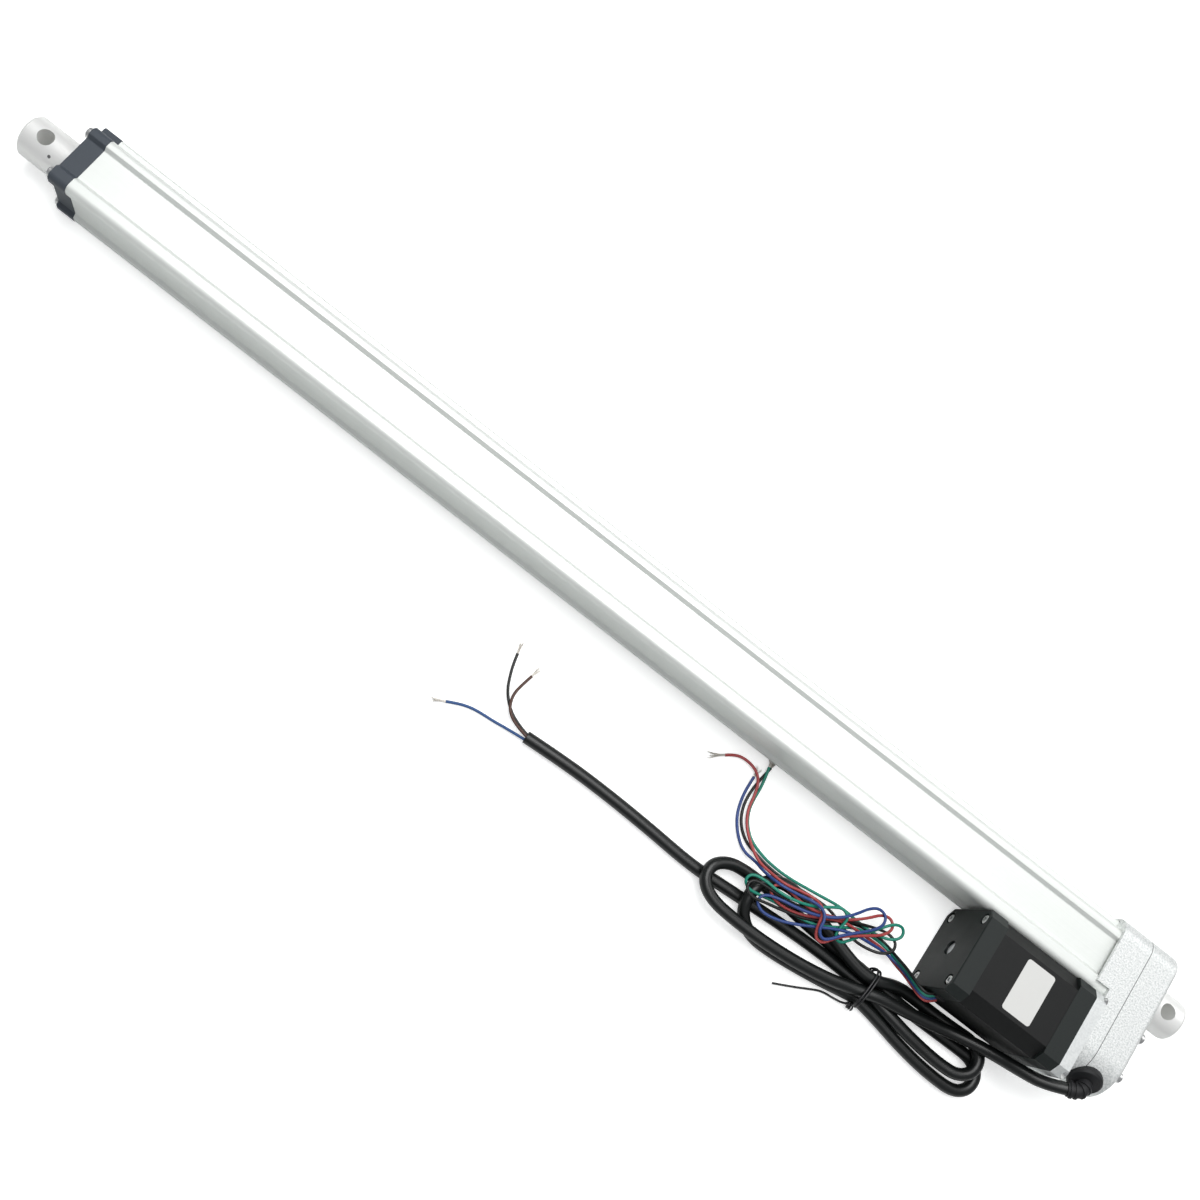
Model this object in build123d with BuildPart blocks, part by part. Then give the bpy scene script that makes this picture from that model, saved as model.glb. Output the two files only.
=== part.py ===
# Linear actuator with a screw that a stepper motor turns through three gears.
# The rod slides along X, the motor lies beside the screw on +Y, and Z is up.
# Lengths are in millimetres. The origin is the centre of the rear eye bore.

import math
import os

from build123d import *

os.makedirs("parts", exist_ok=True)

# Fits that several pieces share, all radial or one-sided.
run_gap = 0.05
tight_gap = 0.02
slip_gap = 0.15
hole_gap = 0.15

# Stroke and the lengths along the rod.
stroke = 700.0
eye_to_case = 11.6
cover_floor = 4.0
cover_depth = 20.8
gasket_thick = 0.4
housing_depth = 8.2
housing_floor = 4.6
pad_height = 3.8
collar_length = 12.8
nut_gap = 2.6
nut_length = 30.0
nut_spigot = 9.0
end_gap = 5.2
plug_length = 18.0
cap_thick = 12.3
rod_show = 5.5

# Eyes.
eye_bar = 26.0
eye_bore = 10.0
rear_nose = 13.0
rear_round = 2.6
front_reach = 13.0
front_nose = 13.5
front_chamfer = 1.8
eye_spigot = 17.0
flange_room = 0.8
flange_thick = 3.0
cup_wall = 3.0
eye_screw_edge = 2.6

# Gears.
gear_module = 1.0
screw_teeth = 34
idler_teeth = 21
pinion_teeth = 21
gear_width = 9.0
tooth_play = 0.12
gear_side_gap = 0.4
gear_room = 1.3
slot_room = 1.0
hub_dia = 16.0
idler_pin_dia = 6.0
idler_boss = 12.0
cross_pin = 3.0

# Screw and its bearings.
screw_dia = 12.0
journal_dia = 10.0
tail_dia = 6.0
stub_dia = 8.0
guide_length = 9.0
tail_bearing_od = 19.0
tail_bearing_width = 6.0
screw_bearing_od = 26.0
screw_bearing_width = 8.0
clip_land = 1.0
clip_thick = 1.0
clip_depth = 0.75
bearing_lip = 3.0
lip_bore = 20.0
spigot_wall = 2.5

# Rod and nut.
rod_outer = 26.0
rod_inner = 20.2
key_width = 4.4
key_depth = 1.7
nut_magnet_dia = 4.0
nut_magnet_length = 4.0

# Tube section.
tube_bore = 31.2
tube_half = 20.0
tube_far = 21.5
lobe_near = 11.5
lobe_far = 15.2
lobe_side = 13.5
lobe_round = 4.0
panel_depth = 2.4
panel_slant = 2.0
rail_half = 11.0
rail_reach = 27.6
rail_round = 1.6
chamber_half = 8.5
chamber_near = 20.6
chamber_far = 25.8
screw_near = 15.6
screw_far = 17.0
screw_side = 15.6

# Gearbox case.
case_wall = 3.2
case_far = 29.3
case_corner = 12.0
case_round = 2.6
collar_near = 14.6
case_screw_far = 24.4
case_screw_far_z = 8.6
case_screw_mid = 26.0
case_screw_mid_z = 17.6
case_screw_end = 53.0
case_screw_end_z = 16.8

# Screws.
m4_dia = 4.0
m4_head = 7.0
m4_head_height = 2.6
m5_dia = 5.0
m5_head = 9.2
m3_dia = 3.0
m3_head = 6.0
m3_head_height = 2.0
case_screw_tip = 5.6
tube_screw_length = 16.0
cap_screw_length = 22.0
adapter_screw_grip = 6.6
mount_thread = 5.2

# Cap, bush and wiper.
cap_over = 0.3
bush_wall = 1.45
bush_length = 22.0
wiper_wall = 3.4
wiper_length = 5.0

# Motor and its adapter.
motor_square = 56.4
stack_square = 56.0
bell_chamfer = 5.3
stack_chamfer = 8.6
adapter_thick = 7.4
front_bell_length = 12.0
stack_length = 55.6
rear_bell_length = 12.5
mount_square = 47.14
tie_square = 42.4
tie_tip_gap = 1.3
pilot_dia = 38.1
pilot_height = 1.6
adapter_screw_square = 24.0
motor_shaft_dia = 8.0
shoulder_dia = 10.0
coil_room = 24.2
bell_room = 3.8
stator_bore = 30.4
rotor_dia = 30.0
rotor_length = 24.0
magnet_dia = 26.0
magnet_length = 4.0
pole_width = 6.0
pole_count = 8
shoe_thick = 1.8
shoe_gap = 2.6
coil_thick = 3.0
coil_inner = 17.4
coil_outer = 22.8
motor_bearing_od = 22.0
motor_bearing_width = 7.0
washer_thick = 0.6
rear_hole = 9.6
lead_slot_inset = 2.6
lead_slot_z = -2.4
lead_slot_width = 5.0
lead_slot_height = 10.0

# Gland of the sensor cable.
gland_x = 26.0
gland_angle = 38.0
gland_flange = 20.6
gland_seat = 19.9
gland_flange_thick = 4.6
gland_stem = 11.0
boot_dia = 10.6

# Sensor board in the rail.
board_thick = 1.6
board_width = 16.8
board_start_gap = 15.0
board_end_gap = 14.2
hall_size = 4.0
hall_thick = 1.5

# Cords.
cable_dia = 7.8
core_dia = 1.8
lead_dia = 1.9
tie_dia = 1.5
hank_height = 15.9
hank_slope = 0.0081
floor_z = -28.2

# Stations along X.
case_x = eye_to_case
floor_x = case_x + cover_floor
part_x = case_x + cover_depth
house_x = part_x + gasket_thick
seat_x = house_x + housing_depth
wall_x = seat_x - housing_floor
pad_x = seat_x + pad_height
collar_x = seat_x + collar_length
flange_x = floor_x + flange_thick
cup_x = flange_x + tail_bearing_width
gear_x = cup_x + gear_side_gap
gear_end = gear_x + gear_width
clip_x = wall_x + clip_land
bearing_x = clip_x + clip_thick
bearing_end = bearing_x + screw_bearing_width
spigot_x = bearing_end + bearing_lip
nut_x = spigot_x + nut_gap
nut_end = nut_x + nut_length
tube_end = nut_end + stroke + end_gap + plug_length
cap_x = tube_end + cap_thick
eye_x = cap_x + rod_show
front_eye_x = eye_x + front_reach
screw_end = nut_end + nut_spigot + stroke + 1.0
adapter_x = pad_x
bell_x = adapter_x + adapter_thick
stack_x = bell_x + front_bell_length
rear_bell_x = stack_x + stack_length
motor_end = rear_bell_x + rear_bell_length
lead_slot_x = rear_bell_x + lead_slot_inset

# Places across the case.
screw_pitch_r = gear_module * screw_teeth / 2
idler_y = gear_module * (screw_teeth + idler_teeth) / 2
motor_y = idler_y + gear_module * (idler_teeth + pinion_teeth) / 2
screw_room_r = screw_pitch_r + gear_module + gear_room
flange_dia = 2 * (screw_room_r - flange_room)
eye_screw_circle = flange_dia - 2 * eye_screw_edge
idler_room_r = gear_module * (idler_teeth / 2 + 1) + slot_room
pinion_room_r = gear_module * (pinion_teeth / 2 + 1) + slot_room
case_half = screw_room_r + case_wall
opening_r = pinion_room_r - 0.5
case_spots = [
    (-case_screw_far, case_screw_far_z),
    (-case_screw_far, -case_screw_far_z),
    (case_screw_mid, case_screw_mid_z),
    (case_screw_mid, -case_screw_mid_z),
    (case_screw_end, case_screw_end_z),
    (case_screw_end, -case_screw_end_z),
]
tube_spots = [
    (screw_near, screw_side),
    (screw_near, -screw_side),
    (-screw_far, screw_side),
    (-screw_far, -screw_side),
]


def across(x, y=0.0, z=0.0):
    """A plane across the actuator: sketch x runs along +Y and sketch y along +Z."""
    return Plane(origin=(x, y, z), x_dir=(0, 1, 0), z_dir=(1, 0, 0))


def square_spots(side, y=0.0):
    """The four corners of a square round the given axis."""
    half = side / 2
    return [(y + half, half), (y + half, -half), (y - half, half), (y - half, -half)]


def ring(x, length, outer, inner, y=0.0):
    """A plain ring, bush or bearing with its axis along X."""
    with BuildPart() as piece:
        with BuildSketch(across(x, y)):
            Circle(outer)
            Circle(inner, mode=Mode.SUBTRACT)
        extrude(amount=length)
    return piece.part


def rod(x, length, radius, y=0.0, z=0.0):
    """A plain round bar along X."""
    with BuildPart() as piece:
        with BuildSketch(across(x, y, z)):
            Circle(radius)
        extrude(amount=length)
    return piece.part


def bearing(x, width, outer, inner, y=0.0):
    """A ball bearing as one closed ring with a shield set back on both faces."""
    wall = (outer - inner) / 4
    with BuildPart() as piece:
        with BuildSketch(across(x, y)):
            Circle(outer)
            Circle(inner, mode=Mode.SUBTRACT)
        extrude(amount=width)
        with BuildSketch(across(x, y)):
            Circle(outer - wall)
            Circle(inner + wall, mode=Mode.SUBTRACT)
        extrude(amount=0.4, mode=Mode.SUBTRACT)
        with BuildSketch(across(x + width, y)):
            Circle(outer - wall)
            Circle(inner + wall, mode=Mode.SUBTRACT)
        extrude(amount=-0.4, mode=Mode.SUBTRACT)
    return piece.part


def pan_screw(seat, y, z, side, head, height, shank, length):
    """A pan head screw. Its head stands on the seat towards +X for side 1, else towards -X."""
    with BuildPart() as piece:
        with BuildSketch(across(seat, y, z)):
            Circle(head / 2)
        extrude(amount=side * height)
        rim = piece.edges().filter_by(GeomType.CIRCLE).sort_by(Axis.X)
        fillet(rim[-1] if side > 0 else rim[0], height * 0.4)
        with BuildSketch(across(seat, y, z)):
            Circle(shank / 2 - tight_gap)
        extrude(amount=-side * length)
        with BuildSketch(across(seat + side * height, y, z)):
            Rectangle(head * 0.56, head * 0.13, rotation=30)
            Rectangle(head * 0.13, head * 0.56, rotation=30)
        extrude(amount=-side * height * 0.6, mode=Mode.SUBTRACT)
    return piece.part


def flat_screw(top, y, z, side, head, shank, length):
    """A countersunk screw whose head is flush with the given plane and opens to that side."""
    cone = (head - shank) / 2
    with BuildPart() as piece:
        with BuildSketch(across(top, y, z)):
            Circle(shank / 2 - tight_gap)
        extrude(amount=-side * length)
        with BuildSketch(across(top, y, z)):
            Circle(head / 2 - tight_gap)
        extrude(amount=-side * cone, taper=44)
        with BuildSketch(across(top, y, z)):
            RegularPolygon(shank * 0.36, 6)
        extrude(amount=-side * cone * 0.8, mode=Mode.SUBTRACT)
    return piece.part


def flat_sink(top, y, z, side, head, shank, length):
    """The room that a countersunk screw needs."""
    cone = (head - shank) / 2
    with BuildPart() as piece:
        with BuildSketch(across(top, y, z)):
            Circle(shank / 2)
        extrude(amount=-side * length)
        with BuildSketch(across(top, y, z)):
            Circle(head / 2)
        extrude(amount=-side * cone, taper=44)
    return piece.part


def holes(x, length, spots, radius):
    """Round holes along X at several places."""
    with BuildPart() as piece:
        with BuildSketch(across(x)):
            with Locations(*spots):
                Circle(radius)
        extrude(amount=length)
    return piece.part


def tooth_points(teeth, turn):
    """Corner points of a spur gear with one tooth centred on the given angle in degrees."""
    pitch_r = gear_module * teeth / 2
    base_r = pitch_r * math.cos(math.radians(20))
    root_r = pitch_r - 1.25 * gear_module
    tip_r = pitch_r + gear_module
    involute = math.tan(math.radians(20)) - math.radians(20)
    half_pitch = math.pi / (2 * teeth) - tooth_play / (4 * pitch_r)
    flank = [(root_r, half_pitch + involute)]
    start_r = max(base_r, root_r) + 0.02
    for step in range(4):
        radius = start_r + (tip_r - start_r) * step / 3
        press = math.acos(base_r / radius)
        flank.append((radius, half_pitch + involute - math.tan(press) + press))
    points = []
    for tooth in range(teeth):
        middle = math.radians(turn) + 2 * math.pi * tooth / teeth
        for radius, half in flank:
            points.append((radius * math.cos(middle - half), radius * math.sin(middle - half)))
        for radius, half in reversed(flank):
            points.append((radius * math.cos(middle + half), radius * math.sin(middle + half)))
    return points


def toothed(y, teeth, turn, bore):
    """The toothed rim of a gear with its bore."""
    with BuildPart() as piece:
        with BuildSketch(across(gear_x, y)):
            with BuildLine():
                Polyline(*tooth_points(teeth, turn), close=True)
            make_face()
            Circle(bore, mode=Mode.SUBTRACT)
        extrude(amount=gear_width)
    return piece.part


def case_block(x, length):
    """The outer shape of the gearbox case over one length."""
    with BuildPart() as piece:
        with BuildSketch(across(x)) as outline:
            with Locations(((motor_y - case_far) / 2, 0)):
                Rectangle(motor_y + case_far, 2 * case_half)
            fillet(outline.vertices().sort_by(Axis.X)[:2], case_corner)
            with Locations((motor_y, 0)):
                Circle(case_half)
        extrude(amount=length)
    return piece.part


def gear_cavity(x, length):
    """The room for the three gears over one length."""
    with BuildPart() as piece:
        with BuildSketch(across(x)):
            Circle(screw_room_r)
            with Locations((motor_y / 2, 0)):
                Rectangle(motor_y, 2 * idler_room_r)
            with Locations((motor_y, 0)):
                Circle(pinion_room_r)
        extrude(amount=length)
    return piece.part


def gland_room():
    """The flat seat and the hole that the cable gland needs in the case."""
    turn = math.radians(gland_angle)
    ahead = (0, math.cos(turn), math.sin(turn))
    seat = (gland_x, motor_y + gland_seat * ahead[1], gland_seat * ahead[2])
    with BuildPart() as piece:
        with BuildSketch(Plane(origin=seat, x_dir=(1, 0, 0), z_dir=ahead)):
            Circle(gland_flange / 2 + hole_gap)
        extrude(amount=gland_flange_thick)
        with BuildSketch(Plane(origin=seat, x_dir=(1, 0, 0), z_dir=ahead)):
            Circle(gland_stem / 2 + hole_gap)
        extrude(amount=-(gland_seat - pinion_room_r + 1.0))
    return piece.part


def tube_outline(x, length, over):
    """The outer shape of the tube: four lobes, set back panels and the sensor rail."""
    near = tube_half + over
    far = tube_far + over
    top = tube_half + over
    near_low = near - panel_depth
    far_low = far - panel_depth
    top_low = top - panel_depth
    upper = [
        (near_low, lobe_side - panel_slant),
        (near, lobe_side),
        (near, top),
        (lobe_near, top),
        (lobe_near - panel_slant, top_low),
        (-lobe_far + panel_slant, top_low),
        (-lobe_far, top),
        (-far, top),
        (-far, lobe_side),
        (-far_low, lobe_side - panel_slant),
    ]
    lower = [(y, -z) for y, z in reversed(upper)]
    with BuildPart() as piece:
        with BuildSketch(across(x)) as outline:
            with BuildLine():
                Polyline(*upper, *lower, close=True)
            make_face()
            corners = []
            bends = []
            for corner in outline.vertices():
                at_side = min(abs(corner.X - near), abs(corner.X + far)) < 0.01
                if at_side and abs(abs(corner.Y) - top) < 0.01:
                    corners.append(corner)
                else:
                    bends.append(corner)
            fillet(corners, lobe_round)
            bends = []
            for corner in outline.vertices():
                side_bend = abs(abs(corner.Y) - lobe_side) < panel_slant + 0.01
                top_bend = abs(abs(corner.Y) - top) < 0.01 or abs(abs(corner.Y) - top_low) < 0.01
                rounded = abs(corner.X) > min(near, far) - lobe_round - 0.05 and abs(corner.Y) > top - 0.01
                if (side_bend or top_bend) and not rounded:
                    bends.append(corner)
            fillet(bends, panel_slant * 0.45)
            with Locations((-(far_low - 1.0 + rail_reach + over) / 2, 0)):
                Rectangle(rail_reach + over - far_low + 1.0, 2 * rail_half)
            tips = outline.vertices().sort_by(Axis.X)[:2]
            fillet(tips, rail_round)
        extrude(amount=length)
    return piece.part


def socket(x, length, gap):
    """The plain outer shape of the tube and its rail, as the collar holds it."""
    with BuildPart() as piece:
        with BuildSketch(across(x)) as outline:
            with Locations(((tube_half - tube_far) / 2, 0)):
                Rectangle(tube_half + tube_far + 2 * gap, 2 * (tube_half + gap))
            fillet(outline.vertices(), lobe_round)
            with Locations((-(rail_reach + gap) / 2, 0)):
                Rectangle(rail_reach + gap, 2 * (rail_half + gap))
        extrude(amount=length)
    return piece.part


def square_block(x, length, side, cut):
    """A square plate or bell round the motor axis with its corners cut off."""
    with BuildPart() as piece:
        with BuildSketch(across(x, motor_y)) as outline:
            Rectangle(side, side)
            chamfer(outline.vertices(), cut)
        extrude(amount=length)
    return piece.part


def cord(points, radius):
    """A round cord of straight runs that are joined by tangent arcs."""
    rounds = []
    for before, here, after in zip(points, points[1:], points[2:]):
        back = Vector(*here) - Vector(*before)
        ahead = Vector(*after) - Vector(*here)
        half_turn = math.radians(back.get_angle(ahead)) / 2
        rounds.append(0.45 * min(back.length, ahead.length) / math.tan(half_turn))
    with BuildPart() as piece:
        with BuildLine() as route:
            FilletPolyline(*points, radius=rounds)
        path = route.wires()[0]
        with BuildSketch(Plane(origin=path @ 0, z_dir=path % 0)):
            Circle(radius)
        sweep(path=path)
    length = path.length
    share = piece.part.volume / (math.pi * radius * radius * length)
    print("cord length", round(length, 1), "smallest radius", round(min(rounds), 1), "fill", round(share, 4))
    return piece.part


def beside(points, step):
    """The same route moved over by one small step."""
    return [(x + step[0], y + step[1], z + step[2]) for x, y, z in points]


# Extruded tube with the sensor rail on its far side.
tube_length = tube_end - seat_x
with BuildPart() as tube:
    add(tube_outline(seat_x, tube_length, 0.0))
    with BuildSketch(across(seat_x)):
        Circle(tube_bore / 2)
        with PolarLocations(tube_bore / 2, 4, start_angle=45):
            Rectangle(2 * key_depth, key_width)
        with Locations((-(chamber_near + chamber_far) / 2, 0)):
            Rectangle(chamber_far - chamber_near, 2 * chamber_half)
        with Locations(*tube_spots):
            Circle(m4_dia / 2)
    extrude(amount=tube_length, mode=Mode.SUBTRACT)

# Front cap with its plug, and what it holds.
bush_outer = rod_outer / 2 + run_gap + bush_wall
wiper_outer = rod_outer / 2 + run_gap + wiper_wall
with BuildPart() as front_cap:
    add(tube_outline(tube_end, cap_thick, cap_over))
    front_rim = front_cap.faces().sort_by(Axis.X)[-1].edges()
    chamfer(front_rim, 0.5)
    with BuildSketch(across(tube_end)):
        Circle(tube_bore / 2 - slip_gap)
    extrude(amount=-plug_length)
    add(rod(tube_end - plug_length, plug_length + cap_thick, rod_outer / 2 + 0.4), mode=Mode.SUBTRACT)
    add(rod(tube_end - plug_length, bush_length, bush_outer + tight_gap), mode=Mode.SUBTRACT)
    add(rod(cap_x - wiper_length, wiper_length, wiper_outer + tight_gap), mode=Mode.SUBTRACT)
    add(holes(tube_end, cap_thick, tube_spots, m4_dia / 2 + hole_gap), mode=Mode.SUBTRACT)

with BuildPart() as cap_screws:
    for spot_y, spot_z in tube_spots:
        add(pan_screw(cap_x, spot_y, spot_z, 1, m4_head, m4_head_height, m4_dia, cap_screw_length))

with BuildPart() as rod_bush:
    add(ring(tube_end - plug_length, bush_length, bush_outer, rod_outer / 2 + run_gap))

with BuildPart() as rod_wiper:
    add(ring(cap_x - wiper_length, wiper_length, wiper_outer, rod_outer / 2 + run_gap))
    add(ring(cap_x, 0.9, rod_outer / 2 + 1.4, rod_outer / 2 + run_gap))

# Rod with its front eye.
rod_pin_x = nut_end + nut_spigot / 2
eye_pin_x = eye_x - eye_spigot / 2
with BuildPart() as rod_tube:
    add(ring(nut_end, eye_x - nut_end, rod_outer / 2, rod_inner / 2))
    with BuildSketch(Plane.XY):
        with Locations((rod_pin_x, 0), (eye_pin_x, 0)):
            Circle(cross_pin / 2)
    extrude(amount=rod_outer, both=True, mode=Mode.SUBTRACT)

with BuildPart() as front_eye:
    add(rod(eye_x - eye_spigot, eye_spigot, rod_inner / 2 - tight_gap))
    add(rod(eye_x, front_reach + front_nose, eye_bar / 2))
    chamfer(front_eye.edges().filter_by(GeomType.CIRCLE).sort_by(Axis.X)[-1], front_chamfer)
    with BuildSketch(Plane.XY):
        with Locations((front_eye_x, 0)):
            Circle(eye_bore / 2)
        with Locations((eye_pin_x, 0)):
            Circle(cross_pin / 2)
    extrude(amount=eye_bar, both=True, mode=Mode.SUBTRACT)

with BuildPart() as rod_pins:
    with BuildSketch(Plane.XY.offset(-rod_outer / 2 + 0.4)):
        with Locations((eye_pin_x, 0)):
            Circle(cross_pin / 2 - tight_gap)
    extrude(amount=rod_outer - 0.8)
    with BuildSketch(Plane.XY.offset(screw_dia / 2 + 1.2)):
        with Locations((rod_pin_x, 0)):
            Circle(cross_pin / 2 - tight_gap)
    extrude(amount=rod_outer / 2 - screw_dia / 2 - 1.6)
    with BuildSketch(Plane.XY.offset(-screw_dia / 2 - 1.2)):
        with Locations((rod_pin_x, 0)):
            Circle(cross_pin / 2 - tight_gap)
    extrude(amount=-(rod_outer / 2 - screw_dia / 2 - 1.6))

# Nut with four keys that slide in the grooves of the tube.
nut_r = tube_bore / 2 - run_gap
magnet_x = nut_x + nut_length / 2
with BuildPart() as drive_nut:
    with BuildSketch(across(nut_x)):
        Circle(nut_r)
        with PolarLocations(nut_r, 4, start_angle=45):
            Rectangle(2 * (key_depth - run_gap * 2), key_width - 4 * run_gap)
    extrude(amount=nut_length)
    add(rod(nut_end, nut_spigot, rod_inner / 2 - tight_gap))
    add(rod(nut_x, nut_length + nut_spigot, screw_dia / 2 + run_gap), mode=Mode.SUBTRACT)
    with BuildSketch(Plane.XY):
        with Locations((rod_pin_x, 0)):
            Circle(cross_pin / 2)
    extrude(amount=rod_outer, both=True, mode=Mode.SUBTRACT)
    with BuildSketch(Plane.XZ.offset(nut_r - 0.2 - nut_magnet_length)):
        with Locations((magnet_x, 0)):
            Circle(nut_magnet_dia / 2 + tight_gap)
    extrude(amount=nut_magnet_length + 2, mode=Mode.SUBTRACT)

with BuildPart() as nut_magnet:
    with BuildSketch(Plane.XZ.offset(nut_r - 0.2 - nut_magnet_length)):
        with Locations((magnet_x, 0)):
            Circle(nut_magnet_dia / 2)
    extrude(amount=nut_magnet_length)

# Lead screw with the pieces that turn with it.
hub_end = bearing_x - run_gap
hub_pin_x = (gear_end + hub_end) / 2
with BuildPart() as lead_screw:
    add(rod(flange_x + 0.4, gear_x - flange_x - 0.4, tail_dia / 2))
    add(rod(gear_x, bearing_end + run_gap - gear_x, journal_dia / 2))
    add(rod(bearing_end + run_gap, screw_end - bearing_end - run_gap, screw_dia / 2))
    add(rod(screw_end, guide_length + 1.2, stub_dia / 2))
    with BuildSketch(Plane.XY):
        with Locations((hub_pin_x, 0)):
            Circle(cross_pin / 2)
    extrude(amount=screw_dia, both=True, mode=Mode.SUBTRACT)

with BuildPart() as screw_guide:
    add(ring(screw_end + 0.2, guide_length, rod_inner / 2 - run_gap, stub_dia / 2 + tight_gap))

with BuildPart() as screw_gear:
    add(toothed(0.0, screw_teeth, 0.0, journal_dia / 2 + tight_gap))
    add(ring(gear_end, hub_end - gear_end, hub_dia / 2, journal_dia / 2 + tight_gap))
    with BuildSketch(Plane.XY):
        with Locations((hub_pin_x, 0)):
            Circle(cross_pin / 2)
    extrude(amount=hub_dia, both=True, mode=Mode.SUBTRACT)

with BuildPart() as gear_pin:
    with BuildSketch(Plane.XY.offset(-hub_dia / 2 + 0.4)):
        with Locations((hub_pin_x, 0)):
            Circle(cross_pin / 2 - tight_gap)
    extrude(amount=hub_dia - 0.8)

with BuildPart() as screw_bearing:
    add(bearing(bearing_x, screw_bearing_width, screw_bearing_od / 2 - tight_gap, journal_dia / 2 + run_gap))

with BuildPart() as tail_bearing:
    add(bearing(flange_x, tail_bearing_width, tail_bearing_od / 2 - tight_gap, tail_dia / 2 + run_gap))

clip_outer = screw_bearing_od / 2 + clip_depth
with BuildPart() as bearing_circlip:
    add(ring(clip_x, clip_thick - 0.04, clip_outer, hub_dia / 2 + 2.2))
    with BuildSketch(across(clip_x, -screw_bearing_od / 2)):
        Rectangle(screw_bearing_od / 2, 5)
    extrude(amount=clip_thick, mode=Mode.SUBTRACT)

# Idler and pinion. Each gap stands where the tooth of the gear before it points.
idler_turn = 180 + 180 / idler_teeth
nearest = round(idler_turn / (360 / idler_teeth)) * 360 / idler_teeth
lean = idler_turn - nearest
pinion_turn = 180 - lean * idler_teeth / pinion_teeth + 180 / pinion_teeth
boss_end = wall_x - gear_end - gear_side_gap
with BuildPart() as idler_gear:
    add(toothed(idler_y, idler_teeth, idler_turn, idler_pin_dia / 2 + run_gap))

with BuildPart() as idler_pin:
    add(rod(case_x + 1.6, seat_x - case_x - 3.2, idler_pin_dia / 2, idler_y))

with BuildPart() as pinion:
    add(toothed(motor_y, pinion_teeth, pinion_turn, motor_shaft_dia / 2 + tight_gap))
    add(ring(gear_end, seat_x - gear_end, hub_dia / 2, motor_shaft_dia / 2 + tight_gap, motor_y))
    with BuildSketch(Plane.XY.offset(motor_shaft_dia / 2)):
        with Locations((hub_pin_x + 1.6, motor_y)):
            Circle(m4_dia / 2 + tight_gap)
    extrude(amount=hub_dia, mode=Mode.SUBTRACT)

with BuildPart() as pinion_screw:
    with BuildSketch(Plane.XY.offset(motor_shaft_dia / 2 + tight_gap)):
        with Locations((hub_pin_x + 1.6, motor_y)):
            Circle(m4_dia / 2)
    extrude(amount=(hub_dia - motor_shaft_dia) / 2 - 0.4)
    with BuildSketch(Plane.XY.offset(hub_dia / 2)):
        with Locations((hub_pin_x + 1.6, motor_y)):
            RegularPolygon(m4_dia * 0.28, 6)
    extrude(amount=-2.0, mode=Mode.SUBTRACT)

# Gearbox case.
with BuildPart() as gear_cover:
    add(case_block(case_x, cover_depth))
    fillet(gear_cover.faces().sort_by(Axis.X)[0].edges(), case_round)
    add(gear_cavity(floor_x, part_x - floor_x), mode=Mode.SUBTRACT)
    add(rod(floor_x, cup_x - floor_x, idler_boss / 2, idler_y))
    add(rod(case_x + 1.6 - hole_gap, cover_depth, idler_pin_dia / 2 + tight_gap, idler_y), mode=Mode.SUBTRACT)
    add(rod(case_x, cover_floor, eye_bar / 2 + run_gap), mode=Mode.SUBTRACT)
    add(holes(case_x, cover_depth, case_spots, m4_dia / 2 + hole_gap), mode=Mode.SUBTRACT)
    with BuildSketch(across(floor_x)):
        with PolarLocations(eye_screw_circle / 2, 3, start_angle=60):
            Circle(m3_dia / 2)
    extrude(amount=-cover_floor + 0.8, mode=Mode.SUBTRACT)
    add(gland_room(), mode=Mode.SUBTRACT)

with BuildPart() as case_gasket:
    add(case_block(part_x, gasket_thick))
    add(gear_cavity(part_x, gasket_thick), mode=Mode.SUBTRACT)
    add(holes(part_x, gasket_thick, case_spots, m4_dia / 2 + hole_gap), mode=Mode.SUBTRACT)
    add(gland_room(), mode=Mode.SUBTRACT)

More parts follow.
